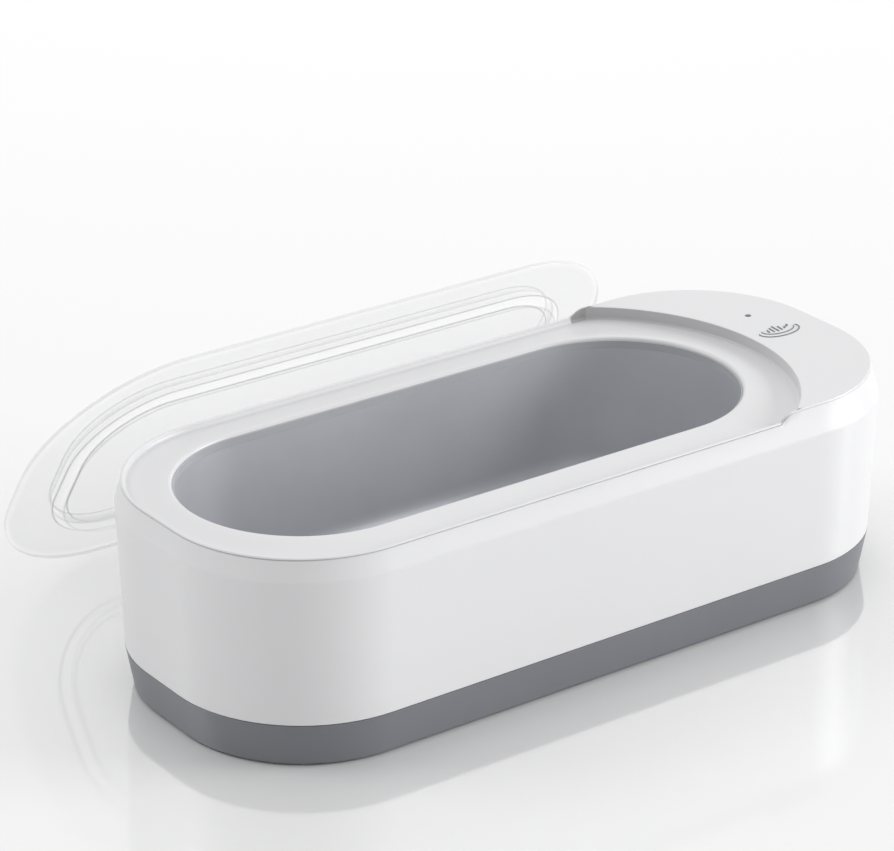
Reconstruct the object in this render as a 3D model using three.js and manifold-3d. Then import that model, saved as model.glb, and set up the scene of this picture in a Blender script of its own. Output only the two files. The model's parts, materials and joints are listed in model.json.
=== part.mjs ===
// Small ultrasonic cleaner for jewellery: a white moulded body on a grey base, a steel tank,
// a touch panel at one end, and a loose clear lid that leans behind the body.
// Units are millimetres. +X points to the control panel, +Y to the rear, +Z up.
// Dimensions are measured from the ground under the middle of the body. At the end the whole set
// is moved forward, so that its origin is on the ground at the middle of its footprint.
import * as THREE from "three";
import { mergeVertices } from "three/addons/utils/BufferGeometryUtils.js";
import Module from "manifold-3d";

const wasm = await Module();
wasm.setup();
const { Manifold, Mesh: SolidMesh } = wasm;

// ---- Driving dimensions ----

const GAP = 0.3; // clearance between pieces that touch on the real object

// Plan of the body at its widest: a rectangle with large round corners.
const BODY = { halfLength: 100, halfWidth: 43.1, corner: 36.1, x: 0 };
const WALL = 2.2;

// Heights of the body, from the ground up.
const BASE_BOTTOM = 0.4;
const BASE_FLOOR_TOP = 3.2;
const SEAM = 11.2; // white shell above, grey base below
const SHOULDER = 47.3; // the sides turn in here
const CREST = 52.75; // sharp rim that the lid rests on
const GUTTER = 51.3; // foot of the rim, and of the panel's step
const PANEL_TOP = 54.65;
const DECK_UNDERSIDE = 49.3;

// How far the outline is set in from its widest at those heights.
const BASE_INSET = 2.9;
const SEAM_INSET = 1.15;
const CREST_INSET = 1.7;
const PANEL_INSET = 2.3;
const RIM_WIDTH = 0.6;

// Tank opening: a stadium, nearer the left end than the panel.
const OPENING = { halfLength: 76.2, halfWidth: 30.2, corner: 30.2, x: -12.9 };
const OPENING_EDGE = 1.5; // radius of the rolled edge of the opening
const OPENING_TOP = 52.6;
const DECK_SLOPE_WIDTH = 10;
const FLANGE_WIDTH = 5;
const FLANGE_TOP = 49.8;
const TANK_SHEET = 0.8;
const TANK_FLOOR = 15.5;
const TANK_BEND = 7;
const TANK_DRAFT = 1.4;
const SEAL = { thickness: 0.5, inner: 0.4, outer: 4.5 }; // inner and outer are from the opening
const SEAT_MARGIN = 1.1; // the flange's seat is this much wider than the flange

// The panel's step is an arc concentric with the lid's end.
const STEP = { x: 24.3, radius: 51.2 };
const STEP_RAMP = { low: 50.2, knee: 52.2, high: 55.2 }; // the rim climbs to the panel here

// Clear lid: a flange with a raised middle and a rib that drops into the opening.
const LID = { halfLength: 85.7, halfWidth: 41.8, corner: 36.3, x: -12.9 };
const LID_SHEET = 1.6;
const LID_EDGE = 0.5;
const LID_RISE = 2.2;
const LID_RISE_FOOT = 12.6; // from the lid's edge
const LID_RISE_HEAD = 14.6;
const LID_RIB = { inset: 13, thickness: 1.1, depth: 2.4 };
const LID_AXIS = { y: 37.9, z: 61.7 }; // the line that the lid is turned over about
const LID_TURN = 235.4; // degrees from leaning to closed
const FOOTPRINT_MIDDLE = 23.5; // how far behind the body's middle that of the footprint is

// Rubber feet and the screws that hold the base on.
const FOOT = { x: 68, y: 24, radius: 6, height: 1.7, pocket: 2.0 };
const SCREW = { x: 84, y: 26, head: 3, headHeight: 2.2, shank: 1.35, length: 20 };
const BOSS_RADIUS = 3.2;
const BOSS_BORE = 1.75;
const POST_RADIUS = 4.2;
const POST_TOP = 12.6;
const COUNTERBORE_TOP = 5.6;
const COOLING_SLOT = { x: 52, length: 22, width: 2, pitch: 4.4, eachSide: 3 };

// Power inlet in the rear wall.
const INLET = { x: 54, z: 24, flange: 7, barrel: 5.9, depth: 14, bore: 3.15, pin: 1 };
const INLET_SEAT = BODY.halfWidth - 2.15; // recess in the wall that the inlet's flange fills
const INLET_FLANGE_THICKNESS = 1.2;
const INLET_NUT = { radius: 8.2, thickness: 2.4 };

// Transducer under the tank.
const DISC = { radius: 20, thickness: 2.6 };
const BOND = { radius: 19, thickness: 0.5 };

// Indicator and touch key on the panel.
const LAMP = { x: 84.6, y: 11.8, radius: 0.75 };
const LED = { length: 2.4, width: 1.6, height: 0.8, lift: 0.4 };
const LENS_FOOT_RADIUS = 1.3;
const KEY = { x: 84.5, y: -0.5 };
const SPRING = { radius: 3, wire: 0.25, turns: 3, stepsPerTurn: 8 };

// Circuit boards.
const BOARD = { x: 78, y: 0, z: 7.6, length: 20, width: 40, thickness: 1.6 };
const BOARD_SCREWS = [
  ["front", -7.8, -18],
  ["rear", 7.5, 17.5],
];
const PANEL_BOARD = { x: 84.5, y: 4, z: 46.2, length: 14, width: 30, thickness: 1.2 };
const PANEL_BOARD_SCREWS = [
  ["front", 0, -12],
  ["rear", 0, 12],
];
const BOARD_PEG = { radius: 2.4, bore: 1.05 };
const PANEL_PEG = { radius: 2, bore: 0.95 };
const BOARD_SCREW = { head: 2, headHeight: 1, shank: 0.75, length: 5 };
const PANEL_SCREW = { head: 1.8, headHeight: 0.9, shank: 0.6, length: 4.6 };

// Parts on the driver board, from its middle.
const CORE = { x: -1, y: 2, length: 13, width: 15, height: 12, openLength: 9, openHeight: 6 };
const WINDING = { length: 8.4, width: 19, height: 5.4 };
const CHOKE = { x: -2.5, y: -13.4, bore: 2, radius: 4.6, height: 4.4 };
const BULK = { x: 6.2, y: -12.4, radius: 3.8, height: 12, edge: 0.4 };
const FILM = { x: 8, y: 3, length: 3.6, width: 10, height: 8 };
const SINK = { x: -3, y: 16, length: 12.5, plate: 1.6, height: 13 };
const FIN = { thickness: 0.9, length: 3, pitch: 2.6, eachSide: 2 };
const TRANSISTOR = { y: 13.8, z: 7, length: 7, thickness: 2, height: 9 };
const WIRE_RADIUS = 0.7;
const RIBBON_RADIUS = 1;
const WIRE_LANDING = 67.2; // where the leads meet the driver board's edge

const CORNER_STEPS = 10; // segments in a quarter turn of an outline
const ROUND = 32; // segments round a turned part
const SMALL_ROUND = 16; // segments round a screw or a peg
const WIRE_SIDES = 3; // segments in half a turn of a wire's section

// ---- Helpers: outlines, lofts and booleans ----

// The outline of a rounded rectangle or stadium, grown by grow, as a THREE.Shape.
function outline(plan, grow = 0, steps = CORNER_STEPS) {
  const radius = plan.corner + grow;
  const dx = plan.halfLength - plan.corner;
  const dy = plan.halfWidth - plan.corner;
  const points = [];
  for (const [quarter, sx, sy] of [[0, 1, 1], [1, -1, 1], [2, -1, -1], [3, 1, -1]]) {
    for (let i = 0; i <= steps; i++) {
      const angle = (quarter + i / steps) * Math.PI * 0.5;
      const x = plan.x + sx * dx + radius * Math.cos(angle);
      const y = sy * dy + radius * Math.sin(angle);
      const last = points.at(-1);
      if (!last || Math.hypot(last.x - x, last.y - y) > 1e-6) points.push(new THREE.Vector2(x, y));
    }
  }
  if (points[0].distanceTo(points.at(-1)) < 1e-6) points.pop();
  return new THREE.Shape(points);
}

// A three.js geometry as a manifold solid.
function solid(geometry) {
  const flat = geometry.clone();
  flat.deleteAttribute("normal");
  flat.deleteAttribute("uv");
  const merged = mergeVertices(flat, 1e-5);
  return new Manifold(
    new SolidMesh({
      numProp: 3,
      vertProperties: new Float32Array(merged.attributes.position.array),
      triVerts: new Uint32Array(merged.index.array),
    }),
  );
}

// A manifold solid as a three.js geometry.
function geometryOf(body) {
  const mesh = body.getMesh();
  const positions = new Float32Array(mesh.numVert * 3);
  for (let i = 0; i < mesh.numVert; i++) {
    positions.set(mesh.vertProperties.subarray(i * mesh.numProp, i * mesh.numProp + 3), i * 3);
  }
  const geometry = new THREE.BufferGeometry();
  geometry.setAttribute("position", new THREE.BufferAttribute(positions, 3));
  geometry.setIndex(new THREE.BufferAttribute(new Uint32Array(mesh.triVerts), 1));
  geometry.computeVertexNormals();
  return geometry;
}

// A solid whose outline changes with height: levels are [z, grow], from the bottom up.
function loft(plan, levels, steps = CORNER_STEPS) {
  const geometry = new THREE.ExtrudeGeometry(outline(plan, 0, steps), {
    depth: 1,
    steps: levels.length - 1,
    bevelEnabled: false,
  });
  const position = geometry.attributes.position;
  const dx = plan.halfLength - plan.corner;
  const dy = plan.halfWidth - plan.corner;
  for (let i = 0; i < position.count; i++) {
    const [z, grow] = levels[Math.round(position.getZ(i) * (levels.length - 1))];
    const centreX = plan.x + THREE.MathUtils.clamp(position.getX(i) - plan.x, -dx, dx);
    const centreY = THREE.MathUtils.clamp(position.getY(i), -dy, dy);
    const scale = (plan.corner + grow) / plan.corner;
    const x = centreX + (position.getX(i) - centreX) * scale;
    const y = centreY + (position.getY(i) - centreY) * scale;
    position.setXYZ(i, x, y, z);
  }
  return solid(geometry);
}

function box(sizeX, sizeY, sizeZ, x, y, z) {
  return solid(new THREE.BoxGeometry(sizeX, sizeY, sizeZ).translate(x, y, z));
}

// An upright round bar between two heights.
function bar(radius, bottom, top, x = 0, y = 0, segments = ROUND) {
  const geometry = new THREE.CylinderGeometry(radius, radius, top - bottom, segments);
  geometry.rotateX(Math.PI * 0.5);
  return solid(geometry.translate(x, y, (top + bottom) * 0.5));
}

// A round bar along Y between two values of y.
function crossBar(radius, from, to, x, z, segments = ROUND) {
  const geometry = new THREE.CylinderGeometry(radius, radius, to - from, segments);
  return solid(geometry.translate(x, (from + to) * 0.5, z));
}

function turned(profile, segments = ROUND) {
  const points = profile.map(([r, z]) => new THREE.Vector2(r, z));
  return solid(new THREE.LatheGeometry(points, segments).rotateX(Math.PI * 0.5));
}

function wire(points, radius, stepsPerPoint = 4) {
  const path = new THREE.CatmullRomCurve3(points.map(([x, y, z]) => new THREE.Vector3(x, y, z)));
  const section = new THREE.Shape().absarc(0, 0, radius, 0, Math.PI * 2);
  return solid(
    new THREE.ExtrudeGeometry(section, {
      extrudePath: path,
      steps: points.length * stepsPerPoint,
      curveSegments: WIRE_SIDES,
      bevelEnabled: false,
    }),
  );
}

const ROOT = new THREE.Group();
ROOT.name = "ultrasonic_cleaner";
ROOT.position.y = -FOOTPRINT_MIDDLE;

// Adds a named mesh with its own material to a group.
function piece(name, body, look, parent = ROOT) {
  const [color, roughness, metalness, opacity = 1] = look;
  const material = new THREE.MeshStandardMaterial({ color, roughness, metalness });
  material.transparent = opacity < 1;
  material.opacity = opacity;
  const mesh = new THREE.Mesh(geometryOf(body), material);
  mesh.name = name;
  parent.add(mesh);
  return mesh;
}

const LOOKS = {
  whitePlastic: [0xe6e6e8, 0.42, 0],
  greyPlastic: [0x74777e, 0.5, 0],
  steel: [0x8c8e93, 0.34, 1],
  clear: [0xf4f7f8, 0.06, 0, 0.3],
  silicone: [0xb9babd, 0.7, 0],
  rubber: [0x2f3032, 0.85, 0],
  circuitBoard: [0x1f5a38, 0.55, 0],
  ceramic: [0xcfc9b8, 0.6, 0],
  epoxy: [0x4b4a48, 0.5, 0],
  ferrite: [0x3b3c3f, 0.6, 0.1],
  copper: [0xb5703a, 0.35, 1],
  aluminium: [0xb8babd, 0.35, 1],
  brass: [0xb99a4e, 0.3, 1],
  blackPlastic: [0x1c1d1f, 0.45, 0],
  screwSteel: [0x9a9ca0, 0.3, 1],
  yellowTape: [0xd8b84a, 0.5, 0],
  redWire: [0xb0322c, 0.5, 0],
  blackWire: [0x222325, 0.5, 0],
  greyWire: [0x8f9194, 0.5, 0],
  lens: [0x3a3c40, 0.2, 0],
  led: [0x9fd3ff, 0.2, 0],
};

const SCREW_PLACES = [
  ["front_left", -SCREW.x, -SCREW.y],
  ["front_right", SCREW.x, -SCREW.y],
  ["rear_left", -SCREW.x, SCREW.y],
  ["rear_right", SCREW.x, SCREW.y],
];

const FOOT_PLACES = [
  ["front_left", -FOOT.x, -FOOT.y],
  ["front_right", FOOT.x, -FOOT.y],
  ["rear_left", -FOOT.x, FOOT.y],
  ["rear_right", FOOT.x, FOOT.y],
];

// ---- Upper shell ----

function stepDisc(grow = 0) {
  return new THREE.Shape().absarc(STEP.x, 0, STEP.radius + grow, 0, Math.PI * 2);
}

// The part of the plan that the lid covers: left of the step's arc.
function lidSide(grow, bottom, top) {
  const leftOfArc = box(220, 100, top - bottom, STEP.x - 110, 0, (top + bottom) * 0.5);
  const disc = new THREE.ExtrudeGeometry(stepDisc(grow), {
    depth: top - bottom,
    curveSegments: 72,
    bevelEnabled: false,
  });
  return leftOfArc.add(solid(disc.translate(0, 0, bottom)));
}

function makeUpperShell() {
  const shoulderHeight = PANEL_TOP - SHOULDER;
  const insetAt = (z) => (PANEL_INSET * (z - SHOULDER)) / shoulderHeight;
  let shell = loft(BODY, [
    [SEAM, -SEAM_INSET],
    [SHOULDER - 1.6, -0.06],
    [SHOULDER, 0],
    [SHOULDER + 1.2, -0.25],
    [CREST, -insetAt(CREST)],
    [PANEL_TOP - 0.4, -insetAt(PANEL_TOP - 0.4)],
    [PANEL_TOP, -PANEL_INSET - 0.35],
  ]);

  // Inside, under the deck and under the raised panel.
  const inner = loft(BODY, [
    [SEAM - 1, -SEAM_INSET - WALL],
    [SHOULDER - 3, -WALL],
    [DECK_UNDERSIDE, -WALL - 1.4],
  ]);
  const panelInside = loft(BODY, [
    [DECK_UNDERSIDE - 1, -WALL - 2.6],
    [PANEL_TOP - WALL, -WALL - 2.6],
  ]).subtract(lidSide(WALL, DECK_UNDERSIDE - 2, PANEL_TOP));
  shell = shell.subtract(inner.add(panelInside));

  // Pocket for the lid: a rim at the edge, a gutter, and a deck that rises to the opening.
  const pocket = loft(BODY, [
    [GUTTER, -CREST_INSET - RIM_WIDTH],
    [CREST, -CREST_INSET - 0.15],
    [PANEL_TOP + 1, -CREST_INSET - 0.15],
  ]).intersect(lidSide(0, GUTTER - 1, PANEL_TOP + 2));
  const overCrest = new THREE.Shape();
  overCrest.moveTo(-120, CREST);
  overCrest.lineTo(STEP_RAMP.low, CREST);
  overCrest.quadraticCurveTo(STEP_RAMP.knee, PANEL_TOP, STEP_RAMP.high, PANEL_TOP);
  overCrest.lineTo(STEP_RAMP.high, PANEL_TOP + 5);
  overCrest.lineTo(-120, PANEL_TOP + 5);
  const crestCut = new THREE.ExtrudeGeometry(overCrest, {
    depth: 100,
    curveSegments: 8,
    bevelEnabled: false,
  });
  crestCut.rotateX(Math.PI * 0.5).translate(0, 50, 0);
  shell = shell.subtract(pocket).subtract(solid(crestCut));

  const deck = loft(OPENING, [
    [DECK_UNDERSIDE + 1, DECK_SLOPE_WIDTH],
    [GUTTER, DECK_SLOPE_WIDTH],
    [OPENING_TOP, OPENING_EDGE],
  ]).intersect(lidSide(-GAP, DECK_UNDERSIDE, PANEL_TOP));
  shell = shell.add(deck);

  // Bosses for the base screws, and pegs that carry the panel's board.
  for (const [, x, y] of SCREW_PLACES) {
    const top = x > 0 ? PANEL_TOP - 1 : DECK_UNDERSIDE + 1;
    shell = shell.add(bar(BOSS_RADIUS, POST_TOP + GAP, top, x, y, 20));
    shell = shell.subtract(bar(BOSS_BORE, POST_TOP, 32, x, y, 16));
  }
  const pegFoot = PANEL_BOARD.z + PANEL_BOARD.thickness + GAP;
  for (const [, dx, dy] of PANEL_BOARD_SCREWS) {
    const x = PANEL_BOARD.x + dx;
    const y = PANEL_BOARD.y + dy;
    shell = shell.add(bar(PANEL_PEG.radius, pegFoot, PANEL_TOP - 1, x, y, SMALL_ROUND));
    shell = shell.subtract(bar(PANEL_PEG.bore, pegFoot - 1, PANEL_TOP - 2.6, x, y, 12));
  }

  // Opening with its rolled edge, and the seat for the tank's flange under the deck.
  const edge = [[DECK_UNDERSIDE - 2, 0]];
  for (let i = 0; i <= 4; i++) {
    const angle = (i / 4) * Math.PI * 0.5;
    const z = OPENING_TOP - OPENING_EDGE * (1 - Math.sin(angle));
    edge.push([z, OPENING_EDGE * (1 - Math.cos(angle))]);
  }
  edge.push([OPENING_TOP + 1, OPENING_EDGE + 0.05]);
  shell = shell.subtract(loft(OPENING, edge));
  const seatTop = FLANGE_TOP + GAP + SEAL.thickness + GAP;
  shell = shell.subtract(
    loft(OPENING, [
      [DECK_UNDERSIDE - 2, FLANGE_WIDTH + SEAT_MARGIN],
      [seatTop, FLANGE_WIDTH + SEAT_MARGIN],
    ]),
  );

  // Holes for the indicator and the power inlet.
  shell = shell.subtract(bar(LAMP.radius + GAP * 0.5, 50, 60, LAMP.x, LAMP.y, 20));
  shell = shell.subtract(crossBar(INLET.barrel + GAP, 30, 60, INLET.x, INLET.z));
  shell = shell.subtract(crossBar(INLET.flange + GAP, INLET_SEAT, 60, INLET.x, INLET.z));
  return shell;
}

piece("upper_shell", makeUpperShell(), LOOKS.whitePlastic);

// ---- Base shell ----

function makeBaseShell() {
  const top = SEAM - GAP;
  let shell = loft(BODY, [
    [BASE_BOTTOM, -BASE_INSET - 0.6],
    [BASE_BOTTOM + 0.6, -BASE_INSET],
    [top, -SEAM_INSET],
  ]);
  shell = shell.subtract(
    loft(BODY, [
      [BASE_FLOOR_TOP, -BASE_INSET - WALL],
      [top + 1, -SEAM_INSET - WALL + 0.1],
    ]),
  );
  // Tongue that locates the upper shell.
  const tongueOut = -SEAM_INSET - WALL - GAP;
  const tongue = loft(BODY, [
    [top - 2.5, tongueOut - 0.1],
    [top + 2, tongueOut],
  ]).subtract(
    loft(BODY, [
      [top - 3, tongueOut - 1.3],
      [top + 3, tongueOut - 1.3],
    ]),
  );
  const backing = loft(BODY, [
    [top - 2.5, -SEAM_INSET - 0.5],
    [top - 0.9, -SEAM_INSET - 0.5],
  ]).subtract(
    loft(BODY, [
      [top - 3, tongueOut - 1.3],
      [top + 3, tongueOut - 1.3],
    ]),
  );
  shell = shell.add(tongue).add(backing);

  for (const [, x, y] of SCREW_PLACES) {
    shell = shell.add(bar(POST_RADIUS, BASE_FLOOR_TOP - 1, POST_TOP, x, y, 20));
    shell = shell.subtract(bar(SCREW.head + GAP, -1, COUNTERBORE_TOP, x, y, 20));
    shell = shell.subtract(bar(SCREW.shank + GAP, -1, 30, x, y, 16));
  }
  for (const [, x, y] of FOOT_PLACES) {
    shell = shell.subtract(bar(FOOT.radius + GAP, -1, FOOT.pocket, x, y, 24));
  }
  // Cooling slots beside the driver board.
  for (let i = -COOLING_SLOT.eachSide; i <= COOLING_SLOT.eachSide; i++) {
    const y = i * COOLING_SLOT.pitch;
    shell = shell.subtract(box(COOLING_SLOT.length, COOLING_SLOT.width, 10, COOLING_SLOT.x, y, 2));
  }
  // Pegs under the driver board.
  for (const [, dx, dy] of BOARD_SCREWS) {
    const x = BOARD.x + dx;
    const y = BOARD.y + dy;
    shell = shell.add(bar(BOARD_PEG.radius, BASE_FLOOR_TOP - 1, BOARD.z - GAP, x, y, SMALL_ROUND));
    shell = shell.subtract(bar(BOARD_PEG.bore, BASE_FLOOR_TOP + 0.4, BOARD.z, x, y, 12));
  }
  return shell;
}

piece("base_shell", makeBaseShell(), LOOKS.greyPlastic);

for (const [place, x, y] of FOOT_PLACES) {
  const foot = turned([
    [0, 0],
    [FOOT.radius - 0.4, 0],
    [FOOT.radius, 0.4],
    [FOOT.radius, FOOT.height],
    [0, FOOT.height],
  ], 24);
  piece("foot_" + place, foot, LOOKS.rubber).position.set(x, y, 0);
}

// A screw with a flat round head, which is at its foot, and a cross recess.
function screw({ head, headHeight, shank, length }) {
  const profile = [
    [0, 0],
    [head - 0.3, 0],
    [head, 0.3],
    [head, headHeight],
    [shank, headHeight],
    [shank, length - 1],
    [0, length],
  ];
  const slot = head * 1.1;
  return turned(profile, SMALL_ROUND)
    .subtract(box(slot, head * 0.25, headHeight, 0, 0, 0))
    .subtract(box(head * 0.25, slot, headHeight, 0, 0, 0));
}

for (const [place, x, y] of SCREW_PLACES) {
  const mesh = piece("base_screw_" + place, screw(SCREW), LOOKS.screwSteel);
  mesh.position.set(x, y, COUNTERBORE_TOP - GAP - SCREW.headHeight);
}

// ---- Tank, seal and transducer ----

// The tank's wall and floor as [z, grow] levels, thickened outwards by sheet.
function tankLevels(sheet, top) {
  const bendCentre = TANK_FLOOR + TANK_BEND;
  const levels = [];
  for (let i = 6; i >= 0; i--) {
    const angle = (i / 6) * Math.PI * 0.5;
    const radius = TANK_BEND + sheet;
    const z = bendCentre - radius * Math.sin(angle);
    levels.push([z, -TANK_DRAFT - TANK_BEND + radius * Math.cos(angle)]);
  }
  levels.push([top, sheet]);
  return levels;
}

function makeTank() {
  const outer = loft(OPENING, tankLevels(TANK_SHEET, FLANGE_TOP - TANK_SHEET * 0.5));
  const flange = loft(OPENING, [
    [FLANGE_TOP - TANK_SHEET, FLANGE_WIDTH],
    [FLANGE_TOP, FLANGE_WIDTH],
  ]);
  return outer.add(flange).subtract(loft(OPENING, tankLevels(0, FLANGE_TOP + 1)));
}

piece("tank", makeTank(), LOOKS.steel);

const sealBottom = FLANGE_TOP + GAP;
const tankSeal = loft(OPENING, [
  [sealBottom, SEAL.outer],
  [sealBottom + SEAL.thickness, SEAL.outer],
]).subtract(
  loft(OPENING, [
    [sealBottom - 1, SEAL.inner],
    [sealBottom + SEAL.thickness + 1, SEAL.inner],
  ]),
);
piece("tank_seal", tankSeal, LOOKS.silicone);

const bondTop = TANK_FLOOR - TANK_SHEET - GAP;
const bondBottom = bondTop - BOND.thickness;
const discTop = bondBottom - GAP;
piece("transducer_bond", bar(BOND.radius, bondBottom, bondTop, OPENING.x), LOOKS.epoxy);
piece(
  "transducer_disc",
  bar(DISC.radius, discTop - DISC.thickness, discTop, OPENING.x),
  LOOKS.ceramic,
);

// ---- Driver board and its parts ----

function board(plan, screws, hole) {
  let plate = box(plan.length, plan.width, plan.thickness, 0, 0, plan.thickness * 0.5);
  for (const [, x, y] of screws) plate = plate.subtract(bar(hole, -5, 5, x, y, 16));
  return plate;
}

const driverBoard = piece("driver_board", board(BOARD, BOARD_SCREWS, 1.4), LOOKS.circuitBoard);
driverBoard.position.set(BOARD.x, BOARD.y, BOARD.z);
const boardTop = BOARD.z + BOARD.thickness;

// The board's parts stand in a group whose origin is on the board's top face.
const onBoard = new THREE.Group();
onBoard.position.set(BOARD.x, BOARD.y, boardTop + GAP);
ROOT.add(onBoard);

// A block on the board, with its middle at a height z.
function block({ length, width, height }, x, y, z) {
  return box(length, width, height, x, y, z);
}

const coreMiddle = CORE.height * 0.5;
const window = box(CORE.openLength, CORE.width * 2, CORE.openHeight, CORE.x, CORE.y, coreMiddle);
const core = block(CORE, CORE.x, CORE.y, coreMiddle).subtract(window);
piece("transformer_core", core, LOOKS.ferrite, onBoard);
const winding = block(WINDING, CORE.x, CORE.y, coreMiddle);
piece("transformer_winding", winding, LOOKS.yellowTape, onBoard);

const choke = turned([
  [CHOKE.bore, 0],
  [CHOKE.radius, 0],
  [CHOKE.radius, CHOKE.height],
  [CHOKE.bore, CHOKE.height],
  [CHOKE.bore, 0],
], 24);
piece("choke", choke, LOOKS.copper, onBoard).position.set(CHOKE.x, CHOKE.y, 0);

const capacitor = turned([
  [0, 0],
  [BULK.radius, 0],
  [BULK.radius, BULK.height - BULK.edge],
  [BULK.radius - BULK.edge, BULK.height],
  [0, BULK.height],
], 24);
piece("bulk_capacitor", capacitor, LOOKS.blackPlastic, onBoard).position.set(BULK.x, BULK.y, 0);
const film = block(FILM, FILM.x, FILM.y, FILM.height * 0.5);
piece("film_capacitor", film, LOOKS.yellowTape, onBoard);

const sinkMiddle = SINK.height * 0.5;
let heatSink = box(SINK.length, SINK.plate, SINK.height, SINK.x, SINK.y, sinkMiddle);
for (let i = -FIN.eachSide; i <= FIN.eachSide; i++) {
  const x = SINK.x + i * FIN.pitch;
  const y = SINK.y + 2;
  heatSink = heatSink.add(box(FIN.thickness, FIN.length, SINK.height, x, y, sinkMiddle));
}
piece("heat_sink", heatSink, LOOKS.aluminium, onBoard);
const transistor = box(
  TRANSISTOR.length,
  TRANSISTOR.thickness,
  TRANSISTOR.height,
  SINK.x,
  TRANSISTOR.y,
  TRANSISTOR.z,
);
piece("power_transistor", transistor, LOOKS.blackPlastic, onBoard);

for (const [side, x, y] of BOARD_SCREWS) {
  const fixing = screw(BOARD_SCREW);
  const mesh = piece("driver_board_screw_" + side, fixing, LOOKS.screwSteel, onBoard);
  mesh.position.set(x, y, BOARD_SCREW.headHeight);
  mesh.rotation.x = Math.PI;
}

// ---- Panel: board, indicator and touch key ----

const panelBoardBody = board(PANEL_BOARD, PANEL_BOARD_SCREWS, 1.1);
const panelBoard = piece("panel_board", panelBoardBody, LOOKS.circuitBoard);
panelBoard.position.set(PANEL_BOARD.x, PANEL_BOARD.y, PANEL_BOARD.z);
const panelBoardTop = PANEL_BOARD.z + PANEL_BOARD.thickness;
for (const [side, dx, dy] of PANEL_BOARD_SCREWS) {
  const mesh = piece("panel_board_screw_" + side, screw(PANEL_SCREW), LOOKS.screwSteel);
  const z = PANEL_BOARD.z - GAP - PANEL_SCREW.headHeight;
  mesh.position.set(PANEL_BOARD.x + dx, PANEL_BOARD.y + dy, z);
}
const led = block(LED, LAMP.x, LAMP.y, panelBoardTop + GAP + LED.lift);
piece("indicator_led", led, LOOKS.led);
const lensFoot = panelBoardTop + GAP + LED.height + GAP;
const lens = turned([
  [0, 0],
  [LENS_FOOT_RADIUS, 0],
  [LENS_FOOT_RADIUS, PANEL_TOP - WALL - GAP - lensFoot],
  [LAMP.radius - GAP * 0.5, PANEL_TOP - WALL - GAP - lensFoot],
  [LAMP.radius - GAP * 0.5, PANEL_TOP - lensFoot],
  [0, PANEL_TOP - lensFoot],
], 20);
piece("indicator_lens", lens, LOOKS.lens).position.set(LAMP.x, LAMP.y, lensFoot);

// Coil spring that carries the touch signal up to the inside of the panel.
const springHeight = PANEL_TOP - WALL - GAP - panelBoardTop - GAP;
const coil = [];
const coilSteps = SPRING.turns * SPRING.stepsPerTurn;
for (let i = 0; i <= coilSteps; i++) {
  const angle = (i / SPRING.stepsPerTurn) * Math.PI * 2;
  const height = GAP + ((springHeight - GAP * 2) * i) / coilSteps;
  coil.push([SPRING.radius * Math.cos(angle), SPRING.radius * Math.sin(angle), height]);
}
const spring = wire(coil, SPRING.wire, 2);
piece("touch_spring", spring, LOOKS.copper).position.set(KEY.x, KEY.y, panelBoardTop + GAP);

// ---- Power inlet ----

const inletFace = INLET_SEAT + INLET_FLANGE_THICKNESS;
const inletBack = inletFace - INLET.depth;
let housing = crossBar(INLET.flange, INLET_SEAT + GAP, inletFace, INLET.x, INLET.z);
housing = housing.add(crossBar(INLET.barrel, inletBack, inletFace - 0.5, INLET.x, INLET.z));
housing = housing.subtract(
  crossBar(INLET.bore, inletBack + 3, inletFace + 1, INLET.x, INLET.z),
);
piece("inlet_housing", housing, LOOKS.blackPlastic);
piece(
  "inlet_pin",
  crossBar(INLET.pin, inletBack + 3 + GAP, inletFace - 1, INLET.x, INLET.z, SMALL_ROUND),
  LOOKS.brass,
);
const nutOuter = BODY.halfWidth - WALL - 1 - GAP;
const nutInner = nutOuter - INLET_NUT.thickness;
const nutShape = crossBar(INLET_NUT.radius, nutInner, nutOuter, INLET.x, INLET.z, 6);
const nut = nutShape.subtract(crossBar(INLET.barrel + GAP, 20, 50, INLET.x, INLET.z));
piece("inlet_nut", nut, LOOKS.screwSteel);

// ---- Wires inside the body ----

const discFace = discTop - DISC.thickness - GAP - WIRE_RADIUS;
for (const [name, y, look] of [
  ["transducer_lead_hot", 3, LOOKS.redWire],
  ["transducer_lead_ground", -3, LOOKS.blackWire],
]) {
  const route = [
    [OPENING.x + 14, y, discFace],
    [10, y, 6.5],
    [30, y, 5.2],
    [52, y, 5.2],
    [62, y, 7.4],
    [WIRE_LANDING, y, 8.4],
  ];
  piece(name, wire(route, WIRE_RADIUS), look);
}
for (const [name, offset, look] of [
  ["inlet_lead_hot", -2.4, LOOKS.redWire],
  ["inlet_lead_ground", 2.4, LOOKS.blackWire],
]) {
  const back = inletBack - GAP * 2;
  const route = [
    [INLET.x + offset, back, INLET.z],
    [INLET.x + offset + 0.5, back - 2.5, INLET.z - 1],
    [INLET.x + offset + 2, back - 4, INLET.z - 4],
    [INLET.x + offset + 7, 20 + offset, 14],
    [INLET.x + 11, 14 + offset, 9.4],
    [WIRE_LANDING, 12 + offset, 8.4],
  ];
  piece(name, wire(route, WIRE_RADIUS), look);
}
const ribbon = [
  [PANEL_BOARD.x - 2, -3, PANEL_BOARD.z - GAP - 1],
  [PANEL_BOARD.x + 1, -4, PANEL_BOARD.z - 9],
  [88.6, -6, 30],
  [88.6, -6, 18],
  [86.4, -6, boardTop + 0.5],
];
piece("panel_harness", wire(ribbon, RIBBON_RADIUS), LOOKS.greyWire);

// ---- Lid ----

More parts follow.
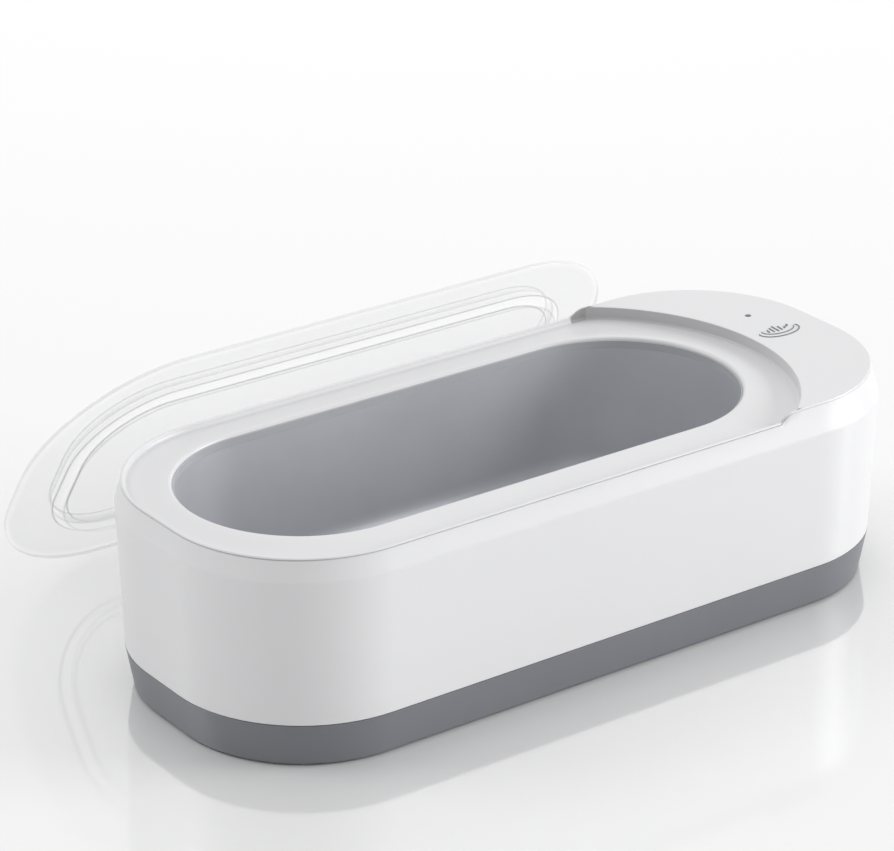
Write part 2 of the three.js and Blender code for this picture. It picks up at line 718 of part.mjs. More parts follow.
function makeLid() {
  const bottom = CREST + GAP;
  const top = bottom + LID_SHEET;
  const crown = top + LID_RISE;
  let lid = loft(LID, [
    [bottom, -LID_EDGE],
    [bottom + LID_EDGE * 0.3, -LID_EDGE * 0.3],
    [bottom + LID_EDGE, 0],
    [top - LID_EDGE, 0],
    [top - LID_EDGE * 0.3, -LID_EDGE * 0.3],
    [top, -LID_EDGE],
  ]);
  lid = lid.add(
    loft(LID, [
      [bottom, -LID_RISE_FOOT + 1],
      [top, -LID_RISE_FOOT],
      [crown - 0.4, -LID_RISE_HEAD + 0.3],
      [crown, -LID_RISE_HEAD - 0.3],
    ]),
  );
  lid = lid.subtract(
    loft(LID, [
      [bottom - 1, -LID_RISE_FOOT - 1.4],
      [bottom, -LID_RISE_FOOT - 1.4],
      [crown - LID_SHEET, -LID_RISE_HEAD - 1.6],
    ]),
  );
  const ribInner = -LID_RIB.inset - LID_RIB.thickness;
  const rib = loft(LID, [
    [bottom - LID_RIB.depth, -LID_RIB.inset - 0.2],
    [bottom + 0.3, -LID_RIB.inset],
  ]).subtract(
    loft(LID, [
      [bottom - LID_RIB.depth - 1, ribInner],
      [bottom + 1, ribInner],
    ]),
  );
  return lid.add(rib);
}

// The lid's solid is made closed, then turned back over the rear edge to where it leans.
const lidPivot = new THREE.Group();
lidPivot.position.set(0, LID_AXIS.y, LID_AXIS.z);
lidPivot.rotation.x = THREE.MathUtils.degToRad(-LID_TURN);
ROOT.add(lidPivot);
const lid = piece("lid", makeLid(), LOOKS.clear, lidPivot);
lid.position.set(0, -LID_AXIS.y, -LID_AXIS.z);

export default ROOT;
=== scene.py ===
"""Looks of a small ultrasonic cleaner for jewellery, built around its packed mechanical frame.

The body has a white upper shell, a grey base and a steel tank. A loose clear lid leans behind it.
Every length is in metres, in the frame's own axes: +X to the control panel, +Y to the rear, +Z up.
"""

import json
import logging
import math
from dataclasses import dataclass, field
from enum import Enum
from typing import Callable, Sequence

import bmesh
import bpy
from mathutils import Matrix, Vector


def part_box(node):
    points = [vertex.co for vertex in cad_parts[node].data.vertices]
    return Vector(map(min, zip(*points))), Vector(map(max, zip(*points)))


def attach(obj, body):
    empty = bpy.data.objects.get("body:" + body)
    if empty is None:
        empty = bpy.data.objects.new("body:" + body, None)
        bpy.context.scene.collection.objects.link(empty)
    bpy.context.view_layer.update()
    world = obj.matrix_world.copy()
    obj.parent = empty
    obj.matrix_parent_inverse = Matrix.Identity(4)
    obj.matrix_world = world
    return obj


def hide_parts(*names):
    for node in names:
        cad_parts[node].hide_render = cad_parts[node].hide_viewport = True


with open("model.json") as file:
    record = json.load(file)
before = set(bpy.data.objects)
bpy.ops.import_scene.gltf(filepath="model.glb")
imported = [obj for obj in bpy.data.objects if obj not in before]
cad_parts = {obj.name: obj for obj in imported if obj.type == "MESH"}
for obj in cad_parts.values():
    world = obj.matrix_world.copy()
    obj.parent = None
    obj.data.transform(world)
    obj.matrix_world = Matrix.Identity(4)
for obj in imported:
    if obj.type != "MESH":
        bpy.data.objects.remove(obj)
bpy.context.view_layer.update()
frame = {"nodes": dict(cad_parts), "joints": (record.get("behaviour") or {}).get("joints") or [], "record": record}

LOG = logging.getLogger("ultrasonic_cleaner")
MM = 0.001
CLEARANCE = 0.3 * MM  # gap that the mechanical pieces keep where the real ones touch
ARC = 20  # divisions of a quarter turn of an outline
SIDE = 4  # divisions of the short straight at each end
NOSE = 4  # divisions from the panel's step to the round of the right end
RIGHT = 2 * NOSE + 2 * ARC + SIDE
# Where the long straights are divided, from the panel's step at 0 to the left end's round at 1.
LONG = [0.004 * i for i in range(13)] + [0.08, 0.14, 0.22, 0.32, 0.42, 0.54, 0.66, 0.78, 0.89, 1.0]

Height = float | Callable[[float], float]


# ---------------------------------------------------------------- outlines and lofts


@dataclass(frozen=True)
class Station:
    """A point of an outline seen from above, with the direction that faces out of it."""

    place: Vector
    outward: Vector


@dataclass(frozen=True)
class Plan:
    """A rounded rectangle seen from above. It is a stadium when its corner is half its width."""

    x: float
    y: float
    half_length: float
    half_width: float
    corner: float

    @property
    def dx(self) -> float:
        """Distance in X from the middle to the centres of the corners."""
        return self.half_length - self.corner

    @property
    def dy(self) -> float:
        """Distance in Y from the middle to the centres of the corners."""
        return self.half_width - self.corner

    def turn(self, sx: int, sy: int, start: float, count: int, span: float = 90.0) -> list[Station]:
        """Stations round a corner, without the last one.

        Args:
            sx: Which end the corner is at, -1 or 1.
            sy: Which side the corner is on, -1 or 1.
            start: Direction of the first station, in degrees from +X.
            count: How many stations.
            span: How far the corner turns, in degrees.

        Returns:
            The stations, anticlockwise.
        """
        centre = Vector((self.x + sx * self.dx, self.y + sy * self.dy))
        made = []
        for i in range(count):
            angle = math.radians(start + span * i / count)
            outward = Vector((math.cos(angle), math.sin(angle)))
            made.append(Station(centre + outward * self.corner, outward))
        return made

    def right_end(self, tip: float) -> list[Station]:
        """Stations from the front at x = tip, round the right end, to the rear at x = tip.

        Args:
            tip: Where on the long straights the right end starts.

        Returns:
            RIGHT stations, anticlockwise, without the last one.
        """
        if self.dy < 1e-7:
            return self.turn(1, -1, -90.0, RIGHT, 180.0)
        front, rear = self.y - self.half_width, self.y + self.half_width
        start = self.x + self.dx
        made = straight((tip, front), (start, front), (0, -1), shares(NOSE))
        made += self.turn(1, -1, -90.0, ARC)
        end = self.x + self.half_length
        made += straight((end, self.y - self.dy), (end, self.y + self.dy), (1, 0), shares(SIDE))
        made += self.turn(1, 1, 0.0, ARC)
        return made + straight((start, rear), (tip, rear), (0, 1), shares(NOSE))

    def left_end(self, tip: float) -> list[Station]:
        """Stations from the rear at x = tip, round the left end, to the front at x = tip.

        Args:
            tip: Where on the long straights the left end starts.

        Returns:
            The stations, anticlockwise, without the last one.
        """
        front, rear = self.y - self.half_width, self.y + self.half_width
        start = self.x - self.dx
        if self.dy < 1e-7:
            tip = self.x + self.dx
        made = straight((tip, rear), (start, rear), (0, 1), LONG[:-1])
        if self.dy < 1e-7:
            made += self.turn(-1, 1, 90.0, 2 * ARC + SIDE, 180.0)
        else:
            made += self.turn(-1, 1, 90.0, ARC)
            end = self.x - self.half_length
            corners = (end, self.y + self.dy), (end, self.y - self.dy)
            made += straight(*corners, (-1, 0), shares(SIDE))
            made += self.turn(-1, -1, 180.0, ARC)
        back = [1.0 - share for share in reversed(LONG)][:-1]
        return made + straight((start, front), (tip, front), (0, -1), back)

    def stations(self, tip: float) -> list[Station]:
        """The whole outline, anticlockwise from the front at x = tip."""
        return self.right_end(tip) + self.left_end(tip)


def shares(count: int) -> list[float]:
    """Even shares of a length from 0, without the 1 at its end."""
    return [i / count for i in range(count)]


def straight(
    start: Sequence[float], end: Sequence[float], outward: Sequence[float], parts: Sequence[float]
) -> list[Station]:
    """Stations along a straight.

    Args:
        start: First end, seen from above.
        end: Second end.
        outward: The direction that faces out of the outline.
        parts: Where the stations are, as shares of the length.

    Returns:
        One station for each share.
    """
    a, b = Vector(start), Vector(end)
    return [Station(a.lerp(b, share), Vector(outward)) for share in parts]


def ring(stations: Sequence[Station], grow: Height, z: Height) -> list[Vector]:
    """Points of an outline grown outwards and lifted to a height.

    Args:
        stations: The outline.
        grow: How far outwards, or a function of x.
        z: The height, or a function of x.

    Returns:
        One point for each station.
    """
    points = []
    for station in stations:
        x = station.place.x
        by = grow(x) if callable(grow) else grow
        flat = station.place + station.outward * by
        points.append(Vector((flat.x, flat.y, z(x) if callable(z) else z)))
    return points


def fillet(
    centre: tuple[float, float], radius: float, start: float, end: float, steps: int = 4
) -> list[tuple[float, float]]:
    """Points of an arc in a section.

    Args:
        centre: The arc's centre, as (outward, up).
        radius: Its radius.
        start: Its first direction, in degrees from outward towards up.
        end: Its last direction.
        steps: How many chords it has.

    Returns:
        The points as (outward, up).
    """
    made = []
    for i in range(steps + 1):
        angle = math.radians(start + (end - start) * i / steps)
        made.append((centre[0] + radius * math.cos(angle), centre[1] + radius * math.sin(angle)))
    return made


class Loft:
    """A skin that is extruded from ring to ring."""

    def __init__(self, points: Sequence[Vector]) -> None:
        """Starts the skin from a circle that takes the first ring's shape.

        Args:
            points: The first ring.
        """
        self.bm = bmesh.new()
        self.order = self.bm.verts.layers.int.new("order")
        self.edge = self.bm.verts.layers.float.new("edge")
        self.fold = self.bm.verts.layers.float.new("fold")
        made = bmesh.ops.create_circle(self.bm, segments=len(points), radius=1.0)
        for i, vert in enumerate(made["verts"]):
            vert[self.order] = i
        self.edges = list(self.bm.edges)
        self.place(made["verts"], points)

    def place(
        self,
        verts: Sequence[bmesh.types.BMVert],
        points: Sequence[Vector],
        edge: float = 0.0,
        fold: float = 0.0,
    ) -> None:
        """Moves each vertex of a ring to its point.

        Args:
            verts: The ring's vertices.
            points: Their places, in the outline's order.
            edge: How much the ring is part of an edge, where the clear finish paints a highlight.
            fold: How much it is a fold, where the clear finish paints a dark line.
        """
        for vert in verts:
            vert.co = points[vert[self.order]]
            vert[self.edge] = edge
            vert[self.fold] = fold

    def cap(self) -> "Loft":
        """Closes the last ring with one flat face."""
        bmesh.ops.contextual_create(self.bm, geom=self.edges)
        return self

    def to(self, points: Sequence[Vector], edge: float = 0.0, fold: float = 0.0) -> "Loft":
        """Extrudes the last ring to new points.

        Args:
            points: The new ring.
            edge: How much it is part of an edge.
            fold: How much it is a fold.

        Returns:
            The same loft.
        """
        made = bmesh.ops.extrude_edge_only(self.bm, edges=self.edges)["geom"]
        fresh = {item for item in made if isinstance(item, bmesh.types.BMVert)}
        self.edges = [
            item
            for item in made
            if isinstance(item, bmesh.types.BMEdge) and fresh.issuperset(item.verts)
        ]
        self.place(list(fresh), points, edge, fold)
        return self

    def through(self, stations: Sequence[Station], section: Sequence[tuple[float, ...]]) -> "Loft":
        """Extrudes the last ring along a section.

        Args:
            stations: The outline.
            section: Its (grow, height) steps, each with its edge and fold where given.

        Returns:
            The same loft.
        """
        for grow, z, *marks in section:
            self.to(ring(stations, grow, z), *marks)
        return self

    def finish(self, name: str) -> bpy.types.Object:
        """Merges what meets, turns the faces outwards and makes the object.

        Args:
            name: The piece's name.

        Returns:
            The new object.
        """
        bmesh.ops.remove_doubles(self.bm, verts=self.bm.verts, dist=1e-6)
        bmesh.ops.dissolve_degenerate(self.bm, dist=1e-7, edges=self.bm.edges)
        return make_object(name, self.bm)


def linked(name: str, data: bpy.types.ID) -> bpy.types.Object:
    """Makes an object of a mesh, camera or light and links it to the scene.

    Args:
        name: The object's name.
        data: What it shows.

    Returns:
        The new object.
    """
    made = bpy.data.objects.new(name, data)
    bpy.context.scene.collection.objects.link(made)
    return made


def make_object(name: str, bm: bmesh.types.BMesh) -> bpy.types.Object:
    """Makes a smooth shaded object of a closed bmesh, with its faces turned outwards.

    Args:
        name: The piece's name.
        bm: Its mesh, which is freed.

    Returns:
        The new object, linked to the scene.
    """
    bmesh.ops.recalc_face_normals(bm, faces=bm.faces)
    if bm.calc_volume(signed=True) < 0:
        bmesh.ops.reverse_faces(bm, faces=bm.faces)
    mesh = bpy.data.meshes.new(name)
    bm.to_mesh(mesh)
    bm.free()
    return linked(name, mesh)


def settle(piece: bpy.types.Object, angle: float = 38.0) -> bpy.types.Object:
    """Gives a piece its final shading: smooth, with sharp folds and normals led by large faces.

    Args:
        piece: The piece.
        angle: Folds over this many degrees stay sharp.

    Returns:
        The same piece.
    """
    mesh = piece.data
    mesh.polygons.foreach_set("use_smooth", [True] * len(mesh.polygons))
    mesh.set_sharp_from_angle(angle=math.radians(angle))
    weights = piece.modifiers.new("even_light", "WEIGHTED_NORMAL")
    weights.keep_sharp = True
    weights.weight = 80
    return piece


def carve(piece: bpy.types.Object, cutters: Sequence[bpy.types.Object]) -> bpy.types.Object:
    """Cuts closed shapes out of a piece and removes them.

    Args:
        piece: The piece that is cut.
        cutters: What is cut away.

    Returns:
        The piece, with its cuts in its mesh.
    """
    bm = bmesh.new()
    for cutter in cutters:
        bm.from_mesh(cutter.data)
    tool = make_object("tool", bm)
    cut = piece.modifiers.new("cut", "BOOLEAN")
    cut.operation = "DIFFERENCE"
    cut.solver = "EXACT"
    cut.object = tool
    graph = bpy.context.evaluated_depsgraph_get()
    mesh = bpy.data.meshes.new_from_object(piece.evaluated_get(graph))
    old = piece.data
    piece.modifiers.clear()
    piece.data = mesh
    bpy.data.meshes.remove(old)
    mesh.name = piece.name
    for used in (*cutters, tool):
        bpy.data.objects.remove(used)
    return piece


class Way(Enum):
    """Which way the axis of a turned piece points."""

    UP = 0
    REAR = 1

    def matrix(self) -> Matrix:
        """The rotation that takes +Z to this way."""
        return Matrix.Rotation(math.radians(-90 if self is Way.REAR else 0), 4, "X")


def turned(
    name: str,
    section: Sequence[tuple[float, float]],
    place: Sequence[float],
    way: Way = Way.UP,
    steps: int = 48,
) -> bpy.types.Object:
    """A piece turned about an axis.

    Args:
        name: The piece's name.
        section: Its half section as (radius, height) points.
        place: Where its axis starts.
        way: Which way the axis points.
        steps: Divisions of the full turn.

    Returns:
        The new object.
    """
    bm = bmesh.new()
    verts = [bm.verts.new((radius, 0.0, z)) for radius, z in section]
    edges = [bm.edges.new(pair) for pair in zip(verts, verts[1:])]
    bmesh.ops.spin(
        bm,
        geom=verts + edges,
        cent=(0, 0, 0),
        axis=(0, 0, 1),
        angle=math.tau,
        steps=steps,
        use_merge=True,
    )
    bmesh.ops.remove_doubles(bm, verts=bm.verts, dist=1e-7)
    bmesh.ops.transform(bm, matrix=Matrix.Translation(place) @ way.matrix(), verts=bm.verts)
    return make_object(name, bm)


def column(radius: float, low: float, high: float) -> list[tuple[float, float]]:
    """The half section of a plain cylinder between two heights."""
    return [(0.0, low), (radius, low), (radius, high), (0.0, high)]


def centre_of(node: str) -> Vector:
    """The middle of a mechanical node's box."""
    low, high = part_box(node)
    return (low + high) / 2


# ---------------------------------------------------------------- shader maths


def math_operator(kind: str, swapped: bool = False) -> Callable[["Signal", object], "Signal"]:
    """Makes an operator of Signal, which adds a Math node.

    Args:
        kind: The node's operation.
        swapped: Whether the signal is the second of the two values.

    Returns:
        The method.
    """

    def apply(signal: "Signal", other: object) -> "Signal":
        """Adds the node.

        Args:
            signal: The signal that the operator belongs to.
            other: A number or another signal.

        Returns:
            The result.
        """
        first, second = (other, signal) if swapped else (signal, other)
        node = signal.graph.node("ShaderNodeMath", {"operation": kind}, {0: first, 1: second})
        return Signal(signal.graph, node.outputs[0])

    return apply


class Signal:
    """A number from a shader node that can be used in a sum."""

    def __init__(self, graph: "NodeGraph", socket: bpy.types.NodeSocket) -> None:
        """Wraps a socket of a graph."""
        self.graph = graph
        self.socket = socket

    __add__ = math_operator("ADD")
    __radd__ = math_operator("ADD", True)
    __sub__ = math_operator("SUBTRACT")
    __rsub__ = math_operator("SUBTRACT", True)
    __mul__ = math_operator("MULTIPLY")
    __rmul__ = math_operator("MULTIPLY", True)
    __truediv__ = math_operator("DIVIDE")
    __rtruediv__ = math_operator("DIVIDE", True)
    __pow__ = math_operator("POWER")

    def between(self, low: float, high: float) -> "Signal":
        """The signal's place between two levels, from 0 to 1.

        Args:
            low: The level that gives 0.
            high: The level that gives 1.

        Returns:
            The place, smoothed at both ends.
        """
        node = self.graph.node(
            "ShaderNodeMapRange",
            {"interpolation_type": "SMOOTHSTEP"},
            {"Value": self, "From Min": low, "From Max": high},
        )
        return Signal(self.graph, node.outputs["Result"])


class NodeGraph:
    """The nodes of one shader tree."""

    def __init__(self, tree: bpy.types.NodeTree) -> None:
        """Wraps a tree and takes away its nodes."""
        self.tree = tree
        self.tree.nodes.clear()

    def node(
        self, kind: str, settings: dict | None = None, inputs: dict | None = None
    ) -> bpy.types.Node:
        """Adds any node.

        Args:
            kind: The node's type.
            settings: Its settings, which are set first.
            inputs: Its sockets, by name or number, each with a value, a signal or a socket.

        Returns:
            The new node.
        """
        made = self.tree.nodes.new(kind)
        for key, value in (settings or {}).items():
            setattr(made, key, value)
        for key, value in (inputs or {}).items():
            self.feed(made.inputs[key], value)
        return made

    def feed(self, socket: bpy.types.NodeSocket, value: object) -> None:
        """Links a signal or a socket to an input, or sets its value.

        Args:
            socket: The input.
            value: What it is given.
        """
        if isinstance(value, Signal):
            self.tree.links.new(value.socket, socket)
        elif isinstance(value, bpy.types.NodeSocket):
            self.tree.links.new(value, socket)
        else:
            socket.default_value = value


class Surface(NodeGraph):
    """The nodes of one material, with its Principled shader ready to be fed."""

    def __init__(self, name: str) -> None:
        """Makes the material with only a Principled shader and its output.

        Args:
            name: The material's name.
        """
        self.material = bpy.data.materials.new(name)
        self.material.use_nodes = True
        super().__init__(self.material.node_tree)
        self.shader = self.node("ShaderNodeBsdfPrincipled")
        self.node("ShaderNodeOutputMaterial", None, {"Surface": self.shader.outputs["BSDF"]})

    def stretched(self, scale: Sequence[float]) -> bpy.types.NodeSocket:
        """The place on the piece, stretched along each axis.

        Args:
            scale: How much, along each axis.

        Returns:
            The socket of the place.
        """
        coordinate = self.node("ShaderNodeTexCoord")
        settings = {"vector_type": "POINT"}
        inputs = {"Vector": coordinate.outputs["Object"], "Scale": tuple(scale)}
        return self.node("ShaderNodeMapping", settings, inputs).outputs["Vector"]

    def attribute(self, name: str) -> Signal:
        """A number that the piece's own mesh carries."""
        settings = {"attribute_type": "GEOMETRY", "attribute_name": name}
        return Signal(self, self.node("ShaderNodeAttribute", settings).outputs["Fac"])

    def noise(
        self, scale: float, detail: float = 3.0, stretch: Sequence[float] = (1, 1, 1)
    ) -> Signal:
        """A noise over the piece.

        Args:
            scale: Grains in a metre.
            detail: Octaves.
            stretch: How the pattern is squeezed along each axis.

        Returns:
            The noise, about 0.5 on average.
        """
        inputs = {"Vector": self.stretched(stretch), "Scale": scale, "Detail": detail}
        return Signal(self, self.node("ShaderNodeTexNoise", None, inputs).outputs["Fac"])

    def blend(self, factor: Signal, low: object, high: object) -> bpy.types.NodeSocket:
        """A colour between two, by a factor.

        Args:
            factor: 0 for the first colour, 1 for the second.
            low: The first colour, as three numbers or a socket.
            high: The second colour.

        Returns:
            The socket of the colour between.
        """
        pair = [c if isinstance(c, bpy.types.NodeSocket) else (*c, 1.0) for c in (low, high)]
        inputs = {0: factor, 6: pair[0], 7: pair[1]}
        return self.node("ShaderNodeMix", {"data_type": "RGBA"}, inputs).outputs[2]

    def bump(self, height: Signal, distance: float, strength: float) -> None:
        """Feeds the shader's normal from a height.

        Args:
            height: The height, from 0 to 1.
            distance: How deep 1 is, in metres.
            strength: How strongly it shows.
        """
        inputs = {"Height": height, "Distance": distance, "Strength": strength}
        made = self.node("ShaderNodeBump", None, inputs)
        self.feed(self.shader.inputs["Normal"], made.outputs["Normal"])

    def set(self, **values: object) -> None:
        """Sets or feeds the shader's sockets, with _ for each space in a name."""
        for key, value in values.items():
            self.feed(self.shader.inputs[key.replace("_", " ")], value)


# ---------------------------------------------------------------- finishes


@dataclass(frozen=True)
class Moulded:
    """Moulded plastic or rubber: a fine grain with faint cloudiness and uneven gloss, and painted shade where its
    mesh marks it.
    """

    name: str
    color: tuple[float, float, float]
    roughness: float
    grain: float = 2600.0
    depth: float = 0.00001
    cloud: float = 0.03
    coat: float = 0.0
    # How much painted shade darkens the colour at the shaded places that the mesh marks; 0 for none.
    painted_shade: float = 0.0

    def material(self) -> bpy.types.Material:
        """Builds the material.

        Returns:
            The material.
        """
        graph = Surface(self.name)
        clouds = graph.noise(22.0, 4.0)
        grain = graph.noise(self.grain, 2.0)
        dark = [channel * (1 - self.cloud) for channel in self.color]
        light = [min(1.0, channel * (1 + self.cloud)) for channel in self.color]
        color = graph.blend(clouds.between(0.3, 0.7), dark, light)
        # Painted shade: the colour darkens towards the shaded colour where the mesh marks walls and grooves that
        # fall in shade.
        if self.painted_shade:
            deep = [channel * (1 - self.painted_shade) for channel in self.color]
            color = graph.blend(graph.attribute("painted_shade"), color, deep)
        graph.set(
            Base_Color=color,
            Roughness=self.roughness + (grain - 0.5) * 0.08 + (clouds - 0.5) * 0.06,
            Coat_Weight=self.coat,
            Coat_Roughness=0.12,
        )
        graph.bump(grain, self.depth, 0.35)
        return graph.material


@dataclass(frozen=True)
class Metal:
    """Metal with fine lines along one axis and small changes of gloss."""

    name: str
    color: tuple[float, float, float]
    roughness: float
    lines: tuple[float, float, float] = (1.0, 1.0, 1.0)
    fineness: float = 900.0
    depth: float = 0.000004
    metallic: float = 1.0

    def material(self) -> bpy.types.Material:
        """Builds the material.

        Returns:
            The material.
        """
        graph = Surface(self.name)
        lines = graph.noise(self.fineness, 3.0, self.lines)
        clouds = graph.noise(30.0, 3.0)
        dark = [channel * 0.93 for channel in self.color]
        graph.set(
            Base_Color=graph.blend(clouds.between(0.25, 0.75), dark, self.color),
            Metallic=self.metallic,
            Roughness=self.roughness + (lines - 0.5) * 0.12 + (clouds - 0.5) * 0.05,
        )
        graph.bump(lines, self.depth, 0.3)
        return graph.material


@dataclass(frozen=True)
class Clear:
    """Polished clear plastic: faint on its flats, clearer at its edges with a painted highlight there, and painted
    dark lines at its folds.
    """

    name: str
    color: tuple[float, float, float]
    # Colour of the painted highlight on edges, and of the painted dark lines at folds.
    pale: tuple[float, float, float] = (0.98, 0.98, 0.98)
    line: tuple[float, float, float] = (0.12, 0.125, 0.13)
    body: float = 0.085
    roughness: float = 0.05

    def material(self) -> bpy.types.Material:
        """Builds the material.

        Returns:
            The material.
        """
        graph = Surface(self.name)
        waves = graph.noise(35.0, 2.0)
        marks = graph.noise(420.0, 4.0, (0.15, 1.0, 1.0)).between(0.62, 0.8)
        edge, fold = graph.attribute("edge"), graph.attribute("fold")
        sheen = graph.node("ShaderNodeLayerWeight", None, {"Blend": 0.3})
        rim = Signal(graph, sheen.outputs["Facing"])
        graph.set(
            # Painted highlight on the edges and painted dark lines on the folds, standing in for the light that
            # real clear plastic pipes and bends there.
            Base_Color=graph.blend(fold, graph.blend(edge, self.color, self.pale), self.line),
            Alpha=(self.body + waves * 0.03) * (1 - edge * 0.85) + fold * 0.75 + rim**3 * 0.06,
            Roughness=self.roughness + marks * 0.05,
            IOR=1.49,
            Specular_IOR_Level=1.0,
        )
        graph.bump(waves, 0.00004, 0.12)
        return graph.material


@dataclass(frozen=True)
class Board:
    """Green circuit board with copper tracks under its mask."""

    name: str
    mask: tuple[float, float, float]
    track: tuple[float, float, float]

    def material(self) -> bpy.types.Material:
        """Builds the material.

        Returns:
            The material.
        """
        graph = Surface(self.name)
        inputs = {"Vector": graph.stretched((1, 1, 1)), "Scale": 260.0}
        cells = graph.node("ShaderNodeTexVoronoi", {"distance": "MANHATTAN"}, inputs)
        tracks = Signal(graph, cells.outputs["Distance"]).between(0.44, 0.5)
        weave = graph.noise(3000.0, 1.0)
        graph.set(
            Base_Color=graph.blend(tracks, self.mask, self.track),
            Roughness=0.42 + (weave - 0.5) * 0.1,
        )
        graph.bump(tracks + weave * 0.2, 0.00003, 0.4)
        return graph.material


FINISHES = {
    finish.name: finish
    for finish in (
        Moulded(
            # The white shell's colour carries painted shade on its step wall, rim climb and crest groove.
            "white_shell", (0.675, 0.675, 0.685), 0.34, depth=0.000006, cloud=0.006, painted_shade=0.59
        ),
        Moulded("grey_base", (0.158, 0.163, 0.18), 0.42, cloud=0.03),
        Metal("tank_steel", (0.565, 0.575, 0.605), 0.42, (0.06, 0.06, 1.0), 1400.0, metallic=0.55),
        Clear("clear_lid", (0.68, 0.69, 0.7)),
        Moulded("silicone", (0.4, 0.41, 0.43), 0.55, cloud=0.05),
        Moulded("foot_rubber", (0.025, 0.025, 0.027), 0.75, 1500.0, 0.00002, 0.1),
        Metal("screw_steel", (0.62, 0.62, 0.63), 0.3),
        Moulded("epoxy", (0.07, 0.07, 0.065), 0.4, 500.0, 0.00004, 0.2),
        Metal("ceramic", (0.6, 0.57, 0.5), 0.45, metallic=0.4),
        Board("circuit_board", (0.01, 0.09, 0.03), (0.03, 0.2, 0.07)),
        Moulded("ferrite", (0.05, 0.05, 0.055), 0.55, 1200.0, 0.00003, 0.2),
        Moulded("yellow_tape", (0.66, 0.42, 0.06), 0.35, 300.0, 0.00003, 0.1),
        Metal("copper_wire", (0.72, 0.32, 0.15), 0.3, (1.0, 1.0, 0.2)),
        Moulded("black_sleeve", (0.015, 0.016, 0.022), 0.3, 400.0, 0.00001, 0.2, 0.3),
        Moulded("film_case", (0.34, 0.04, 0.025), 0.3, 300.0, 0.00003, 0.1, 0.3),
        Metal("heat_sink_metal", (0.75, 0.75, 0.76), 0.32, (1.0, 1.0, 0.05)),
        Moulded("black_epoxy", (0.02, 0.02, 0.02), 0.5, 2000.0, 0.00001, 0.15),
        Clear("led_body", (0.8, 0.9, 0.97), body=0.8),
        Moulded("lens_plastic", (0.045, 0.045, 0.05), 0.12, 800.0, 0.000002, 0.1, 0.5),
        Moulded("black_plastic", (0.018, 0.018, 0.02), 0.45),
        Metal("inlet_brass", (0.8, 0.6, 0.28), 0.25),
        Moulded("red_wire", (0.42, 0.02, 0.015), 0.4, 900.0, 0.00001, 0.1),
        Moulded("black_wire", (0.02, 0.02, 0.02), 0.4, 900.0, 0.00001, 0.1),
        Moulded("grey_wire", (0.3, 0.3, 0.31), 0.45, 900.0, 0.00001, 0.1),
    )
}


class Paintbox:
    """Builds each finish once and hands it out by its slot's name."""

    def __init__(self) -> None:
        """Starts with nothing built."""
        self.made: dict[str, bpy.types.Material] = {}

    def get(self, slot: str) -> bpy.types.Material:
        """The material of a slot, which is built once.

        Args:
            slot: The slot's name.

        Returns:
            The material.
        """
        if slot not in self.made:
            self.made[slot] = FINISHES[slot].material()
        return self.made[slot]

    def dress(self, piece: bpy.types.Object, slot: str) -> None:
        """Gives a new piece the finish of a slot.

        Args:
            piece: The piece.
            slot: The slot's name.
        """
        piece.data.materials.clear()
        piece.data.materials.append(self.get(slot))

    def dress_frame(self) -> None:
        """Gives every node that is carried over the finish of its slot."""
        for row in frame["record"]["subparts"]:
            node = frame["nodes"][row["node"]]
            for material_slot in node.material_slots:
                material_slot.material = self.get(row["material_slot"])


# ---------------------------------------------------------------- the cleaner


